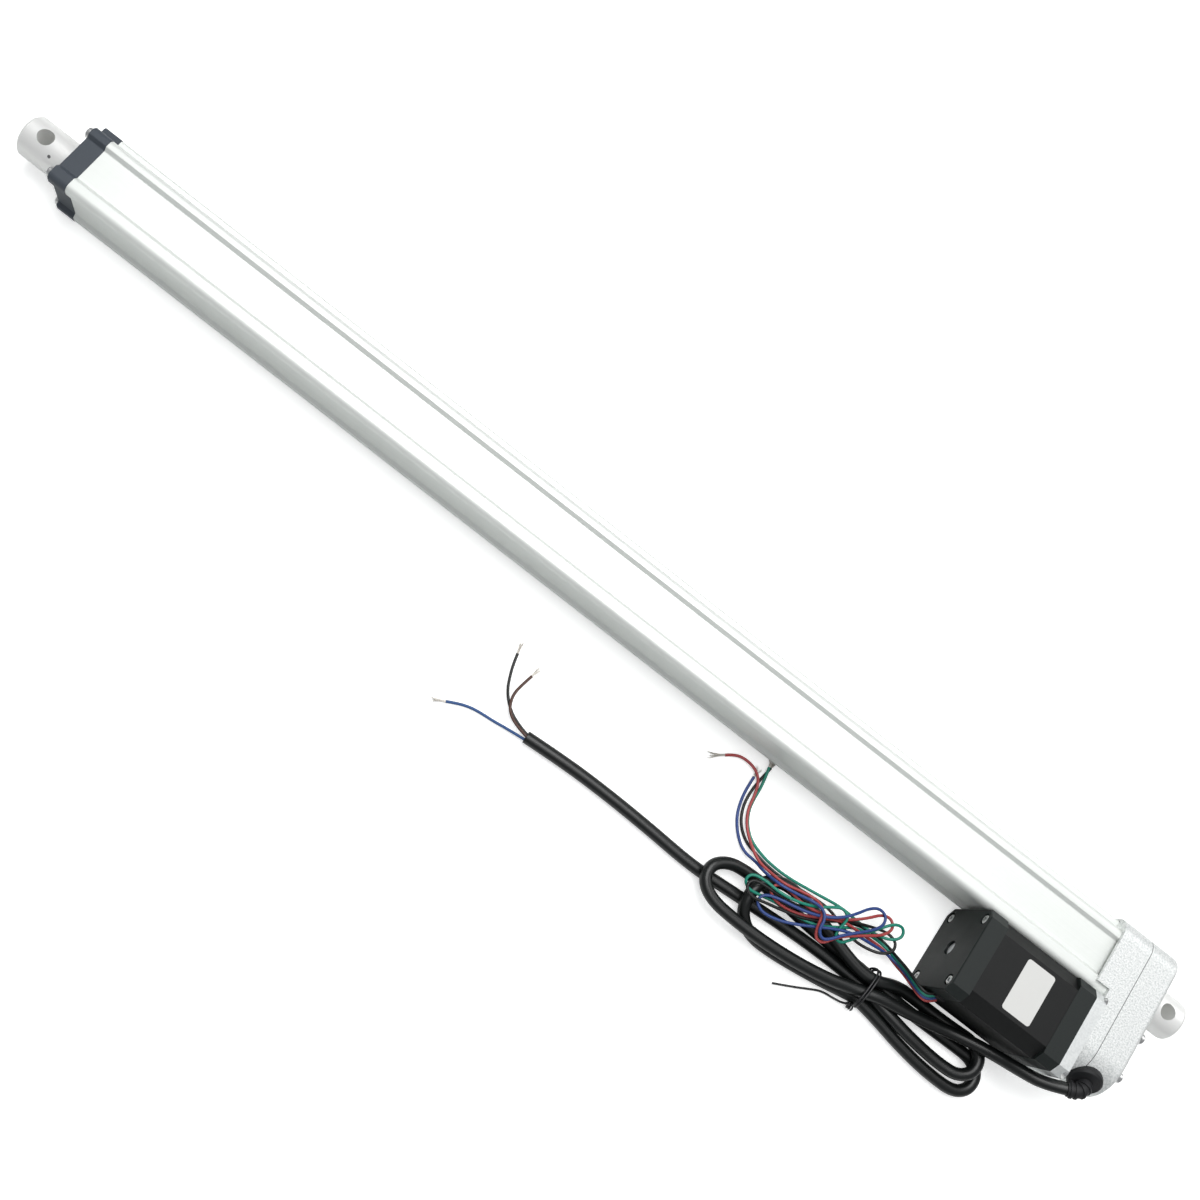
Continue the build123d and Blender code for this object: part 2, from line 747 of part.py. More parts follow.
adapter_spots = square_spots(adapter_screw_square, motor_y)
with BuildPart() as gear_housing:
    add(case_block(house_x, collar_x - house_x))
    with BuildSketch(across(pad_x)):
        with Locations((collar_near + motor_y, 0)):
            Rectangle(2 * motor_y, 4 * case_half)
    extrude(amount=collar_x - pad_x, mode=Mode.SUBTRACT)
    add(socket(seat_x, collar_length, slip_gap), mode=Mode.SUBTRACT)
    add(rod(seat_x, spigot_x - seat_x, screw_bearing_od / 2 + spigot_wall))
    add(gear_cavity(house_x, wall_x - house_x), mode=Mode.SUBTRACT)
    add(rod(gear_end + gear_side_gap, boss_end, idler_boss / 2, idler_y))
    add(rod(wall_x, bearing_end - wall_x, screw_bearing_od / 2), mode=Mode.SUBTRACT)
    add(rod(wall_x, spigot_x - wall_x, lip_bore / 2), mode=Mode.SUBTRACT)
    add(rod(clip_x, clip_thick, clip_outer + run_gap), mode=Mode.SUBTRACT)
    add(rod(wall_x, pad_x - wall_x, opening_r, motor_y), mode=Mode.SUBTRACT)
    add(rod(house_x, seat_x - 1.6 + hole_gap - house_x, idler_pin_dia / 2 + tight_gap, idler_y),
        mode=Mode.SUBTRACT)
    add(holes(house_x, case_screw_tip + 0.8, case_spots, m4_dia / 2), mode=Mode.SUBTRACT)
    add(holes(house_x, housing_depth, tube_spots, m4_dia / 2 + hole_gap), mode=Mode.SUBTRACT)
    add(holes(house_x, 3.4, tube_spots, m4_head / 2 + hole_gap), mode=Mode.SUBTRACT)
    add(holes(wall_x + 1.0, pad_x - wall_x - 1.0, adapter_spots, m4_dia / 2), mode=Mode.SUBTRACT)
    with BuildSketch(across(wall_x - 1)):
        with Locations((-(chamber_near + chamber_far) / 2, 0)):
            Circle(2.4)
    extrude(amount=housing_floor + 2, mode=Mode.SUBTRACT)
    with BuildSketch(Plane.XZ.offset(screw_room_r - 2.0)):
        with Locations((wall_x - 1.8, 0)):
            Rectangle(3.4, 4.4)
    extrude(amount=chamber_far - screw_room_r, mode=Mode.SUBTRACT)
    add(gland_room(), mode=Mode.SUBTRACT)

with BuildPart() as case_screws:
    for spot_y, spot_z in case_spots:
        add(pan_screw(case_x, spot_y, spot_z, -1, m4_head, m4_head_height, m4_dia, house_x + case_screw_tip - case_x))

with BuildPart() as tube_screws:
    for spot_y, spot_z in tube_spots:
        add(pan_screw(house_x + 3.4, spot_y, spot_z, -1, m4_head, m4_head_height, m4_dia, tube_screw_length))

# Rear eye, held in the cover by a flange with three screws.
with BuildPart() as rear_eye:
    add(rod(-rear_nose, floor_x + rear_nose, eye_bar / 2))
    fillet(rear_eye.edges().filter_by(GeomType.CIRCLE).sort_by(Axis.X)[0], rear_round)
    add(rod(floor_x, flange_thick, flange_dia / 2))
    add(ring(flange_x, cup_x - flange_x, tail_bearing_od / 2 + cup_wall, tail_bearing_od / 2))
    add(rod(flange_x - 1.0, 1.0, tail_dia / 2 + 2), mode=Mode.SUBTRACT)
    with BuildSketch(Plane.XY):
        Circle(eye_bore / 2)
    extrude(amount=eye_bar, both=True, mode=Mode.SUBTRACT)
    with BuildSketch(across(floor_x)):
        with PolarLocations(eye_screw_circle / 2, 3, start_angle=60):
            Circle(m3_dia / 2 + hole_gap)
    extrude(amount=flange_thick, mode=Mode.SUBTRACT)

with BuildPart() as eye_screws:
    for turn in (60, 180, 300):
        screw_y = eye_screw_circle / 2 * math.cos(math.radians(turn))
        screw_z = eye_screw_circle / 2 * math.sin(math.radians(turn))
        add(pan_screw(flange_x, screw_y, screw_z, 1, m3_head * 0.75, m3_head_height, m3_dia,
                      flange_thick + cover_floor - 1.2))

# Adapter plate between case and motor.
recess_x = bell_x - pilot_height - 0.3
mount_spots = square_spots(mount_square, motor_y)
with BuildPart() as motor_adapter:
    add(square_block(adapter_x, adapter_thick, motor_square, bell_chamfer))
    add(rod(adapter_x, adapter_thick, opening_r, motor_y), mode=Mode.SUBTRACT)
    add(rod(recess_x, bell_x - recess_x, pilot_dia / 2 + run_gap, motor_y), mode=Mode.SUBTRACT)
    for spot_y, spot_z in adapter_spots:
        add(flat_sink(recess_x, spot_y, spot_z, 1, m4_head, m4_dia, adapter_thick), mode=Mode.SUBTRACT)
    for spot_y, spot_z in mount_spots:
        add(flat_sink(adapter_x, spot_y, spot_z, -1, m5_head, m5_dia, adapter_thick), mode=Mode.SUBTRACT)

with BuildPart() as adapter_screws:
    for spot_y, spot_z in adapter_spots:
        add(flat_screw(recess_x, spot_y, spot_z, 1, m4_head, m4_dia, recess_x - adapter_x + adapter_screw_grip))

with BuildPart() as mount_screws:
    for spot_y, spot_z in mount_spots:
        add(flat_screw(adapter_x, spot_y, spot_z, -1, m5_head, m5_dia, adapter_thick + mount_thread))

# Stepper motor.
tie_spots = square_spots(tie_square, motor_y)
tie_seat = motor_end - 2.2
tie_length = tie_seat - bell_x - mount_thread - tie_tip_gap
front_bearing_x = stack_x - bell_room - motor_bearing_width
rear_bearing_x = motor_end - 2.3 - motor_bearing_width
rear_floor = rear_bell_x + bell_room + 0.8
with BuildPart() as motor_front_bell:
    add(square_block(bell_x, front_bell_length, motor_square, bell_chamfer))
    add(rod(bell_x - pilot_height, pilot_height, pilot_dia / 2, motor_y))
    add(rod(bell_x - pilot_height, stack_x, shoulder_dia / 2 + 0.6, motor_y), mode=Mode.SUBTRACT)
    add(rod(front_bearing_x, stack_x - front_bearing_x, motor_bearing_od / 2, motor_y), mode=Mode.SUBTRACT)
    add(rod(stack_x - bell_room, bell_room, coil_room, motor_y), mode=Mode.SUBTRACT)
    add(holes(bell_x, mount_thread + 0.4, mount_spots, m5_dia / 2), mode=Mode.SUBTRACT)
    add(holes(tie_seat - tie_length - 0.3, stack_x - tie_seat + tie_length + 0.3, tie_spots, m3_dia / 2),
        mode=Mode.SUBTRACT)

with BuildPart() as motor_stack:
    with BuildSketch(across(stack_x, motor_y)) as shoes:
        Circle(stator_bore / 2 + shoe_thick)
        with PolarLocations(stator_bore / 2, pole_count, start_angle=180 / pole_count):
            Rectangle(4 * shoe_thick, shoe_gap, mode=Mode.SUBTRACT)
    with BuildSketch(across(stack_x, motor_y), mode=Mode.PRIVATE) as lamination:
        Rectangle(stack_square, stack_square)
        chamfer(lamination.vertices(), stack_chamfer)
        Circle(coil_room, mode=Mode.SUBTRACT)
        with PolarLocations((coil_room + stator_bore / 2 + 1) / 2, pole_count):
            Rectangle(coil_room - stator_bore / 2 + 1, pole_width)
    extrude(amount=stack_length)
    extrude(lamination.sketch, amount=stack_length)
    add(rod(stack_x, stack_length, stator_bore / 2, motor_y), mode=Mode.SUBTRACT)
    add(holes(stack_x, stack_length, tie_spots, m3_dia / 2 + hole_gap), mode=Mode.SUBTRACT)

with BuildPart() as motor_coils:
    for pole in range(pole_count):
        turn = 2 * math.pi * pole / pole_count
        out = (0, math.cos(turn), math.sin(turn))
        foot = (stack_x + stack_length / 2, motor_y + coil_inner * out[1], coil_inner * out[2])
        with BuildSketch(Plane(origin=foot, x_dir=(1, 0, 0), z_dir=out)):
            Rectangle(stack_length + 2 * coil_thick + 0.2, pole_width + 2 * coil_thick - 0.4)
            Rectangle(stack_length + 0.2, pole_width + 0.2, mode=Mode.SUBTRACT)
        extrude(amount=coil_outer - coil_inner)

with BuildPart() as motor_rear_bell:
    add(square_block(rear_bell_x, rear_bell_length, motor_square, bell_chamfer))
    chamfer(motor_rear_bell.faces().sort_by(Axis.X)[-1].edges(), 0.6)
    add(rod(rear_bell_x, rear_floor - rear_bell_x, coil_room, motor_y), mode=Mode.SUBTRACT)
    add(rod(rear_bell_x, rear_bearing_x + motor_bearing_width + washer_thick - rear_bell_x,
            motor_bearing_od / 2, motor_y), mode=Mode.SUBTRACT)
    add(rod(rear_bell_x, rear_bell_length, rear_hole / 2, motor_y), mode=Mode.SUBTRACT)
    add(holes(rear_bell_x, rear_bell_length, tie_spots, m3_dia / 2 + hole_gap), mode=Mode.SUBTRACT)
    add(holes(tie_seat, motor_end - tie_seat, tie_spots, m3_head / 2 + 0.75), mode=Mode.SUBTRACT)
    with BuildSketch(Plane.XZ.offset(-motor_y - coil_room + 2)):
        with Locations((lead_slot_x, lead_slot_z)):
            Rectangle(lead_slot_width, lead_slot_height)
    extrude(amount=-10, mode=Mode.SUBTRACT)

with BuildPart() as tie_screws:
    for spot_y, spot_z in tie_spots:
        add(pan_screw(tie_seat, spot_y, spot_z, 1, m3_head, m3_head_height, m3_dia, tie_length))

with BuildPart() as motor_shaft:
    add(rod(gear_x, motor_end - 1.3 - gear_x, motor_shaft_dia / 2, motor_y))
    add(rod(stack_x - bell_room + run_gap, rear_bearing_x - stack_x + bell_room - 2 * run_gap,
            shoulder_dia / 2, motor_y))

rotor_x = stack_x + (stack_length - 2 * rotor_length - magnet_length) / 2
with BuildPart() as rotor_stacks:
    add(ring(rotor_x, rotor_length, rotor_dia / 2, shoulder_dia / 2 + tight_gap, motor_y))
    add(ring(rotor_x + rotor_length + magnet_length, rotor_length, rotor_dia / 2,
             shoulder_dia / 2 + tight_gap, motor_y))

with BuildPart() as rotor_magnet:
    add(ring(rotor_x + rotor_length, magnet_length, magnet_dia / 2, shoulder_dia / 2 + tight_gap, motor_y))

with BuildPart() as motor_bearings:
    add(bearing(front_bearing_x, motor_bearing_width, motor_bearing_od / 2 - tight_gap,
                motor_shaft_dia / 2 + run_gap, motor_y))
    add(bearing(rear_bearing_x, motor_bearing_width, motor_bearing_od / 2 - tight_gap,
                motor_shaft_dia / 2 + run_gap, motor_y))

with BuildPart() as wave_washer:
    add(ring(rear_bearing_x + motor_bearing_width, washer_thick, motor_bearing_od / 2 - 0.2,
             motor_bearing_od / 2 - 3.0, motor_y))

side_y = motor_y + motor_square / 2
with BuildPart() as lead_grommet:
    with BuildSketch(Plane.XZ.offset(-side_y + 3.4)):
        with Locations((lead_slot_x, lead_slot_z)):
            RectangleRounded(lead_slot_width - 0.1, lead_slot_height - 0.1, 0.8)
    extrude(amount=-3.4)
    with BuildSketch(Plane.XZ.offset(-side_y)):
        with Locations((lead_slot_x, lead_slot_z)):
            RectangleRounded(lead_slot_width + 1.8, lead_slot_height + 1.8, 1.6)
    extrude(amount=-1.2)

# Gland of the sensor cable: a flange clamped by the case, and a short bent boot.
gland_turn = math.radians(gland_angle)
gland_ahead = (0, math.cos(gland_turn), math.sin(gland_turn))
gland_base = (gland_x, motor_y + gland_seat * gland_ahead[1], gland_seat * gland_ahead[2])
cable_in_points = [
    (33.5, 77.0, 14.5),
    (45.0, 81.9, 10.0),
    (57.0, 82.7, 3.5),
    (69.0, 82.5, -5.5),
    (81.0, 83.2, -11.5),
    (95.0, 85.5, -15.5),
]
boot_points = [
    (24.6, 64.8, 12.4),
    (26.2, 73.6, 16.9),
    cable_in_points[0],
]
boot_bend = 5.4
with BuildPart() as cable_gland:
    with BuildSketch(Plane(origin=gland_base, x_dir=(1, 0, 0), z_dir=gland_ahead)):
        Circle(gland_flange / 2)
    extrude(amount=gland_flange_thick)
    chamfer(cable_gland.faces().sort_by(Axis(gland_base, gland_ahead))[-1].edges(), 1.2)
    with BuildSketch(Plane(origin=gland_base, x_dir=(1, 0, 0), z_dir=gland_ahead)):
        Circle(gland_stem / 2)
    extrude(amount=-(gland_seat - pinion_room_r + 0.4))
    with BuildLine() as boot_line:
        FilletPolyline(*boot_points, radius=boot_bend)
    boot_path = boot_line.wires()[0]
    with BuildSketch(Plane(origin=boot_path @ 0, z_dir=boot_path % 0)):
        Circle(boot_dia / 2 - 0.7)
    sweep(path=boot_path)
    for share in (0.4, 0.56, 0.72, 0.88):
        with BuildSketch(Plane(origin=boot_path @ share, z_dir=boot_path % share)):
            Circle(boot_dia / 2)
        extrude(amount=0.6, both=True)

# Sensor board in the rail.
board_y = -chamber_near - 0.05
board_start = seat_x + board_start_gap
board_length = tube_end - board_end_gap - board_start
with BuildPart() as sensor_board:
    with BuildSketch(Plane.XZ.offset(-board_y)):
        with Locations((board_start + board_length / 2, 0)):
            Rectangle(board_length, board_width)
    extrude(amount=board_thick)

with BuildPart() as hall_sensors:
    with BuildSketch(Plane.XZ.offset(-board_y + board_thick)):
        with Locations((magnet_x, 0), (magnet_x + stroke, 0)):
            Rectangle(hall_size, hall_size)
    extrude(amount=hall_thick)

# Sensor cable: the run from the gland, the hank and the free end with its cores.
with BuildPart() as sensor_cable_in:
    add(cord(cable_in_points, cable_dia / 2))

lay = Plane(origin=(62, 0, floor_z + 0.05), x_dir=(1, 0, hank_slope), z_dir=(-hank_slope, 0, 1))
right_lobe = [
    (62, 97), (64, 105), (71, 111.5), (84, 115), (101.5, 115), (119.5, 113), (135, 109.6), (152, 106),
    (152, 86), (143, 80), (130, 78.4), (118, 78.2), (101, 78.2), (84, 78.2), (72, 80), (64.5, 88),
]
left_lobe = [
    (160, 106), (176, 108), (196, 112), (224, 116), (245, 114.4), (262, 112.8), (275, 107), (280, 98),
    (279, 90), (272, 82.8), (255, 79.4), (230, 78.8), (205, 78.8), (190, 80), (176, 83), (160, 86),
]
with BuildPart() as sensor_cable_hank:
    with BuildSketch(lay):
        with Locations((-62, 0)):
            with BuildLine():
                Polyline(*[(x - 62, y) for x, y in right_lobe], close=True)
            make_face()
            with BuildLine():
                Polyline(*[(x - 62, y) for x, y in left_lobe], close=True)
            make_face()
    extrude(amount=hank_height)
    with BuildSketch(lay.offset(1.7)):
        with Locations((156 - 62, 96)):
            Rectangle(14, 19)
    extrude(amount=hank_height - 3.4)

cable_out_points = [
    (262.0, 98.4, -22.8),
    (275.7, 99.6, -22.6),
    (292.0, 99.8, -22.4),
    (320.0, 98.2, -22.0),
    (349.9, 97.3, -21.7),
    (381.5, 97.5, -21.3),
    (410.7, 99.6, -21.0),
]
with BuildPart() as sensor_cable_out:
    add(cord(cable_out_points, cable_dia / 2))

core_blue_points = [
    (410.7, 101.2, -21.9),
    (421.5, 102.1, -23.0),
    (432.2, 103.5, -23.7),
    (440.0, 104.1, -23.6),
    (447.5, 105.3, -23.5),
    (454.7, 108.0, -23.4),
    (461.0, 111.4, -23.3),
]
with BuildPart() as core_blue:
    add(cord(core_blue_points, core_dia / 2))

core_black_points = [
    (410.7, 98.0, -21.9),
    (420.5, 95.6, -23.2),
    (429.5, 90.4, -23.8),
    (436.2, 83.4, -23.7),
    (440.2, 75.2, -23.6),
    (442.9, 68.0, -23.5),
    (444.5, 61.8, -23.5),
]
with BuildPart() as core_black:
    add(cord(core_black_points, core_dia / 2))

core_brown_points = [
    (410.7, 99.6, -19.3),
    (420.5, 97.8, -20.2),
    (428.4, 92.7, -20.9),
    (431.9, 84.6, -21.5),
    (431.2, 76.0, -22.8),
    (429.5, 67.7, -23.7),
]
with BuildPart() as core_brown:
    add(cord(core_brown_points, core_dia / 2))

# Twist tie round the hank.
tie_points = [
    (156.0, 106.2, -22.0),
    (159.6, 109.4, -24.8),
    (166.0, 110.4, -26.9),
    (175.1, 112.0, -26.7),
    (182.0, 115.5, -26.5),
    (190.0, 119.9, -26.4),
    (203.4, 126.4, -26.3),
]
with BuildPart() as twist_tie:
    with BuildSketch(Plane(origin=(154.5, 96, floor_z + 8.9), x_dir=(0, 1, 0), z_dir=(1, 0, 0))):
        Rectangle(22, 16.4)
        Rectangle(19.4, 13.4, mode=Mode.SUBTRACT)
    extrude(amount=3)
    add(cord(tie_points, tie_dia / 2))

# Motor leads: four wires from the grommet, their hank and their free ends.
lead_step = (-0.5, 0.45, -0.74)
lead_in_points = [
    (lead_slot_x, 76.4, lead_slot_z),
    (126.0, 80.6, -2.4),
    (131.5, 80.9, -3.4),
    (137.0, 77.6, -7.6),
    (142.0, 73.6, -14.0),
    (148.5, 70.6, -19.6),
    (157.5, 69.5, -23.0),
]
red_out_points = [
    (246.0, 76.0, -14.0),
    (254.5, 74.0, -18.0),
    (264.3, 66.4, -21.8),
    (271.4, 59.0, -23.2),
    (275.6, 50.8, -23.2),
    (277.0, 41.0, -23.2),
    (279.7, 33.0, -23.2),
    (284.8, 28.4, -23.3),
    (292.2, 26.5, -24.2),
    (300.3, 27.6, -25.0),
    (305.8, 32.4, -25.0),
]
blue_out_points = [
    (245.0, 71.5, -18.0),
    (254.0, 74.4, -21.6),
    (263.5, 73.4, -24.6),
    (272.2, 66.6, -25.3),
    (278.4, 58.4, -25.3),
    (281.4, 50.2, -25.3),
    (283.0, 41.2, -25.3),
    (283.2, 32.1, -25.3),
]
black_out_points = [
    (246.0, 67.5, -21.5),
    (255.5, 70.0, -24.6),
    (265.0, 67.6, -25.5),
    (272.9, 61.0, -25.4),
    (277.4, 52.0, -25.3),
    (278.9, 41.8, -25.3),
    (278.3, 31.3, -25.3),
    (277.6, 21.2, -25.2),
]
green_out_points = [
    (246.0, 63.4, -22.4),
    (256.0, 62.6, -25.2),
    (265.4, 59.0, -25.5),
    (272.2, 53.4, -25.4),
    (274.8, 45.4, -25.4),
    (274.9, 37.6, -25.3),
    (275.5, 31.0, -23.7),
    (279.4, 22.0, -22.4),
]
with BuildPart() as motor_leads_hank:
    with BuildSketch(Plane(origin=(0, 0, floor_z + 0.8), x_dir=(1, 0, 0), z_dir=(0, 0, 1))):
        with BuildLine():
            Polyline((154, 60), (166, 53.5), (196, 52.6), (228, 57), (247, 60), (251, 66),
                     (251, 77), (240, 78), (206, 78), (186, 78.2), (166, 77.4), (154, 72), close=True)
        make_face()
    extrude(amount=15)
    with BuildSketch(Plane(origin=(0, 0, floor_z + 15.8), x_dir=(1, 0, 0), z_dir=(0, 0, 1))):
        with BuildLine():
            Polyline((176, 62), (200, 60), (230, 64), (246, 68), (247, 90), (232, 93), (208, 90),
                     (196, 78), (180, 74), close=True)
        make_face()
    extrude(amount=6.4)
    with BuildSketch(Plane(origin=(0, 0, floor_z + 15.8), x_dir=(1, 0, 0), z_dir=(0, 0, 1))):
        with Locations((215, 90)):
            Rectangle(100, 2 * 11.9)
    extrude(amount=2.4, mode=Mode.SUBTRACT)

with BuildPart() as lead_red:
    add(cord(beside(lead_in_points, [3.6 * step for step in lead_step]), lead_dia / 2))
    add(cord(red_out_points, lead_dia / 2))

with BuildPart() as lead_blue:
    add(cord(beside(lead_in_points, [1.2 * step for step in lead_step]), lead_dia / 2))
    add(cord(blue_out_points, lead_dia / 2))

with BuildPart() as lead_green:
    add(cord(beside(lead_in_points, [-1.2 * step for step in lead_step]), lead_dia / 2))
    add(cord(green_out_points, lead_dia / 2))

with BuildPart() as lead_black:
    add(cord(beside(lead_in_points, [-3.6 * step for step in lead_step]), lead_dia / 2))
    add(cord(black_out_points, lead_dia / 2))

pieces = {
    "tube": tube,
    "front_cap": front_cap,
    "cap_screws": cap_screws,
    "rod_wiper": rod_wiper,
    "rod_bush": rod_bush,
    "rod_tube": rod_tube,
    "front_eye": front_eye,
    "rod_pins": rod_pins,
    "drive_nut": drive_nut,
    "nut_magnet": nut_magnet,
    "lead_screw": lead_screw,
    "screw_guide": screw_guide,
    "screw_bearing": screw_bearing,
    "bearing_circlip": bearing_circlip,
    "tail_bearing": tail_bearing,
    "screw_gear": screw_gear,
    "gear_pin": gear_pin,
    "idler_gear": idler_gear,
    "idler_pin": idler_pin,
    "pinion": pinion,
    "pinion_screw": pinion_screw,
    "gear_housing": gear_housing,
    "gear_cover": gear_cover,
    "case_gasket": case_gasket,
    "case_screws": case_screws,
    "tube_screws": tube_screws,
    "rear_eye": rear_eye,
    "eye_screws": eye_screws,
    "motor_adapter": motor_adapter,
    "adapter_screws": adapter_screws,
    "mount_screws": mount_screws,
    "motor_front_bell": motor_front_bell,
    "motor_stack": motor_stack,
    "motor_coils": motor_coils,
    "motor_rear_bell": motor_rear_bell,
    "tie_screws": tie_screws,
    "motor_shaft": motor_shaft,
    "rotor_stacks": rotor_stacks,
    "rotor_magnet": rotor_magnet,
    "motor_bearings": motor_bearings,
    "wave_washer": wave_washer,
    "lead_grommet": lead_grommet,
    "cable_gland": cable_gland,
    "sensor_board": sensor_board,
    "hall_sensors": hall_sensors,
    "sensor_cable_in": sensor_cable_in,
    "sensor_cable_hank": sensor_cable_hank,
    "sensor_cable_out": sensor_cable_out,
    "core_blue": core_blue,
    "core_black": core_black,
    "core_brown": core_brown,
    "twist_tie": twist_tie,
    "motor_leads_hank": motor_leads_hank,
    "lead_red": lead_red,
    "lead_blue": lead_blue,
    "lead_green": lead_green,
    "lead_black": lead_black,
}
for name, piece in pieces.items():
    piece.part.label = name
    export_step(piece.part, "parts/" + name + ".step")
    print(name, round(piece.part.volume, 1), len(piece.part.solids()), piece.part.is_valid)
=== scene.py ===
import math

import bmesh
import bpy
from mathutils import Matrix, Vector


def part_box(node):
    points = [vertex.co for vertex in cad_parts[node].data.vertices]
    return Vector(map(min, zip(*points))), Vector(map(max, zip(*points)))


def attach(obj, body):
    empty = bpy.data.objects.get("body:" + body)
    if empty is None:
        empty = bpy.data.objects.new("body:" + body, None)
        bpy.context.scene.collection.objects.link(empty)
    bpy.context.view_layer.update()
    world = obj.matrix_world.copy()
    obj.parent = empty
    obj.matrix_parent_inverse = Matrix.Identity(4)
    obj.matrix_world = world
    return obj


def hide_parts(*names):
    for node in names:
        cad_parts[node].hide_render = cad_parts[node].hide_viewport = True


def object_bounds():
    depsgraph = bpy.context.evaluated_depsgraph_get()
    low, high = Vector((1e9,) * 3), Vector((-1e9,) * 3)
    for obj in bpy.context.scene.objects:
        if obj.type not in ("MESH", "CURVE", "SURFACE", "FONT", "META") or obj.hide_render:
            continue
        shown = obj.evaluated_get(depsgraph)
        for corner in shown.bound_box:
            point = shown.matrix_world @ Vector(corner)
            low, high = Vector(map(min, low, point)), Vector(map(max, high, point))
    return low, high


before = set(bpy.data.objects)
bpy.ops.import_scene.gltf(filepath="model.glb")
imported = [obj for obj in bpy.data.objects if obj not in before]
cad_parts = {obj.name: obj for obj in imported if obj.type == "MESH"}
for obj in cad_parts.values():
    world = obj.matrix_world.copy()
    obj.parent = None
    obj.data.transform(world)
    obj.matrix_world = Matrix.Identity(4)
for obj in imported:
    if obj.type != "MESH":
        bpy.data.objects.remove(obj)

bl_info = {
    "name": "Stepper screw actuator",
    "version": (1, 0, 0),
    "blender": (4, 5, 0),
    "location": "View3D > Sidebar > Actuator",
    "description": "Dresses the packed frame of a stepper driven screw actuator",
    "category": "Object",
}

CAD_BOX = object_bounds()
MM = 0.001
PREFIX = "actuator"
# One unit of the wave texture's scale draws a band in this many metres.
WAVE_UNIT = math.pi / 10
GOLDEN_TURN = math.pi * (3.0 - math.sqrt(5.0))

# Places taken from the frame, in metres.
STACK_LOW, STACK_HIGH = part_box("motor_stack")
EYE_LOW, EYE_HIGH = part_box("front_eye")
BELL_END_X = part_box("motor_rear_bell")[1][0]
MOTOR_Y = (STACK_LOW[1] + STACK_HIGH[1]) / 2

# Routes of the cords in millimetres. Outside the hanks they follow the runs of the solids.
CABLE_IN = [
    (33.5, 77.0, 14.5), (45.0, 81.9, 10.0), (57.0, 82.7, 3.5), (69.0, 82.5, -5.5),
    (81.0, 83.2, -11.5), (95.0, 85.5, -15.5),
]
CABLE_HANK = [
    # Over the right loops and through the tie.
    (110.0, 89.0, -16.0), (129.0, 93.0, -15.8), (146.0, 95.6, -15.6), (157.0, 99.0, -16.6),
    # Left outer loop.
    (166.0, 101.6, -17.0), (177.0, 105.0, -16.4), (196.0, 108.8, -15.4), (222.0, 111.6, -14.8),
    (246.0, 112.0, -14.4), (266.0, 110.6, -14.2), (276.6, 103.4, -14.2), (277.0, 92.6, -14.6),
    (267.4, 85.2, -17.6), (254.0, 82.8, -21.6), (238.0, 82.6, -23.0), (222.0, 84.0, -23.1),
    (202.0, 86.0, -23.4), (180.0, 86.6, -23.8), (157.0, 87.3, -24.1),
    # Right outer loop.
    (145.0, 88.7, -24.2), (131.0, 89.8, -24.2), (118.0, 90.0, -24.2), (105.0, 89.8, -24.2),
    (90.0, 89.6, -24.2), (74.0, 89.6, -24.2), (65.8, 96.0, -24.2), (65.8, 106.0, -24.2),
    (74.0, 112.6, -24.2), (90.0, 112.8, -24.2), (104.0, 111.8, -24.2), (119.2, 109.6, -24.2),
    (134.8, 106.4, -24.2), (148.0, 104.2, -24.1), (157.0, 103.3, -24.0),
    # Left inner loop.
    (168.0, 105.3, -23.9), (181.0, 107.8, -23.8), (198.5, 110.4, -23.5), (216.3, 112.4, -23.3),
    (232.0, 112.4, -22.8), (244.0, 105.6, -19.4), (248.4, 95.0, -14.8), (246.4, 84.6, -14.6),
    (238.4, 77.0, -15.0), (226.0, 75.2, -15.2), (212.0, 77.6, -15.5), (196.0, 82.0, -15.8),
    (178.4, 87.2, -16.2), (163.0, 90.2, -16.4),
    # Right inner loop.
    (152.4, 88.8, -16.2), (144.2, 85.0, -17.6), (137.0, 82.6, -20.5), (128.5, 81.7, -23.4),
    (118.0, 81.6, -24.3), (104.8, 81.6, -24.3), (92.0, 81.5, -23.2), (80.4, 81.2, -20.4),
    (72.6, 87.6, -16.8), (72.6, 98.0, -16.0), (80.2, 104.6, -16.8), (92.0, 105.2, -18.2),
    (104.0, 104.4, -19.0), (118.4, 102.8, -19.2), (135.1, 99.6, -20.4), (148.0, 96.6, -22.8),
    (157.0, 95.2, -24.0),
    # Towards the free end.
    (168.0, 94.5, -24.0), (190.4, 94.2, -23.7), (212.7, 94.9, -23.4), (235.0, 96.4, -23.1),
]
CABLE_OUT = [
    (262.0, 98.4, -22.8), (275.7, 99.6, -22.6), (292.0, 99.8, -22.4), (320.0, 98.2, -22.0),
    (349.9, 97.3, -21.7), (381.5, 97.5, -21.3), (410.7, 99.6, -21.0),
]
CORE_BLUE = [
    (410.7, 101.2, -21.9), (421.5, 102.1, -23.0), (432.2, 103.5, -23.7), (440.0, 104.1, -23.6),
    (447.5, 105.3, -23.5), (454.7, 108.0, -23.4), (461.0, 111.4, -23.3),
]
CORE_BLACK = [
    (410.7, 98.0, -21.9), (420.5, 95.6, -23.2), (429.5, 90.4, -23.8), (436.2, 83.4, -23.7),
    (440.2, 75.2, -23.6), (442.9, 68.0, -23.5), (444.5, 61.8, -23.5),
]
CORE_BROWN = [
    (410.7, 99.6, -19.3), (420.5, 97.8, -20.2), (428.4, 92.7, -20.9), (431.9, 84.6, -21.5),
    (431.2, 76.0, -22.8), (429.5, 67.7, -23.7),
]
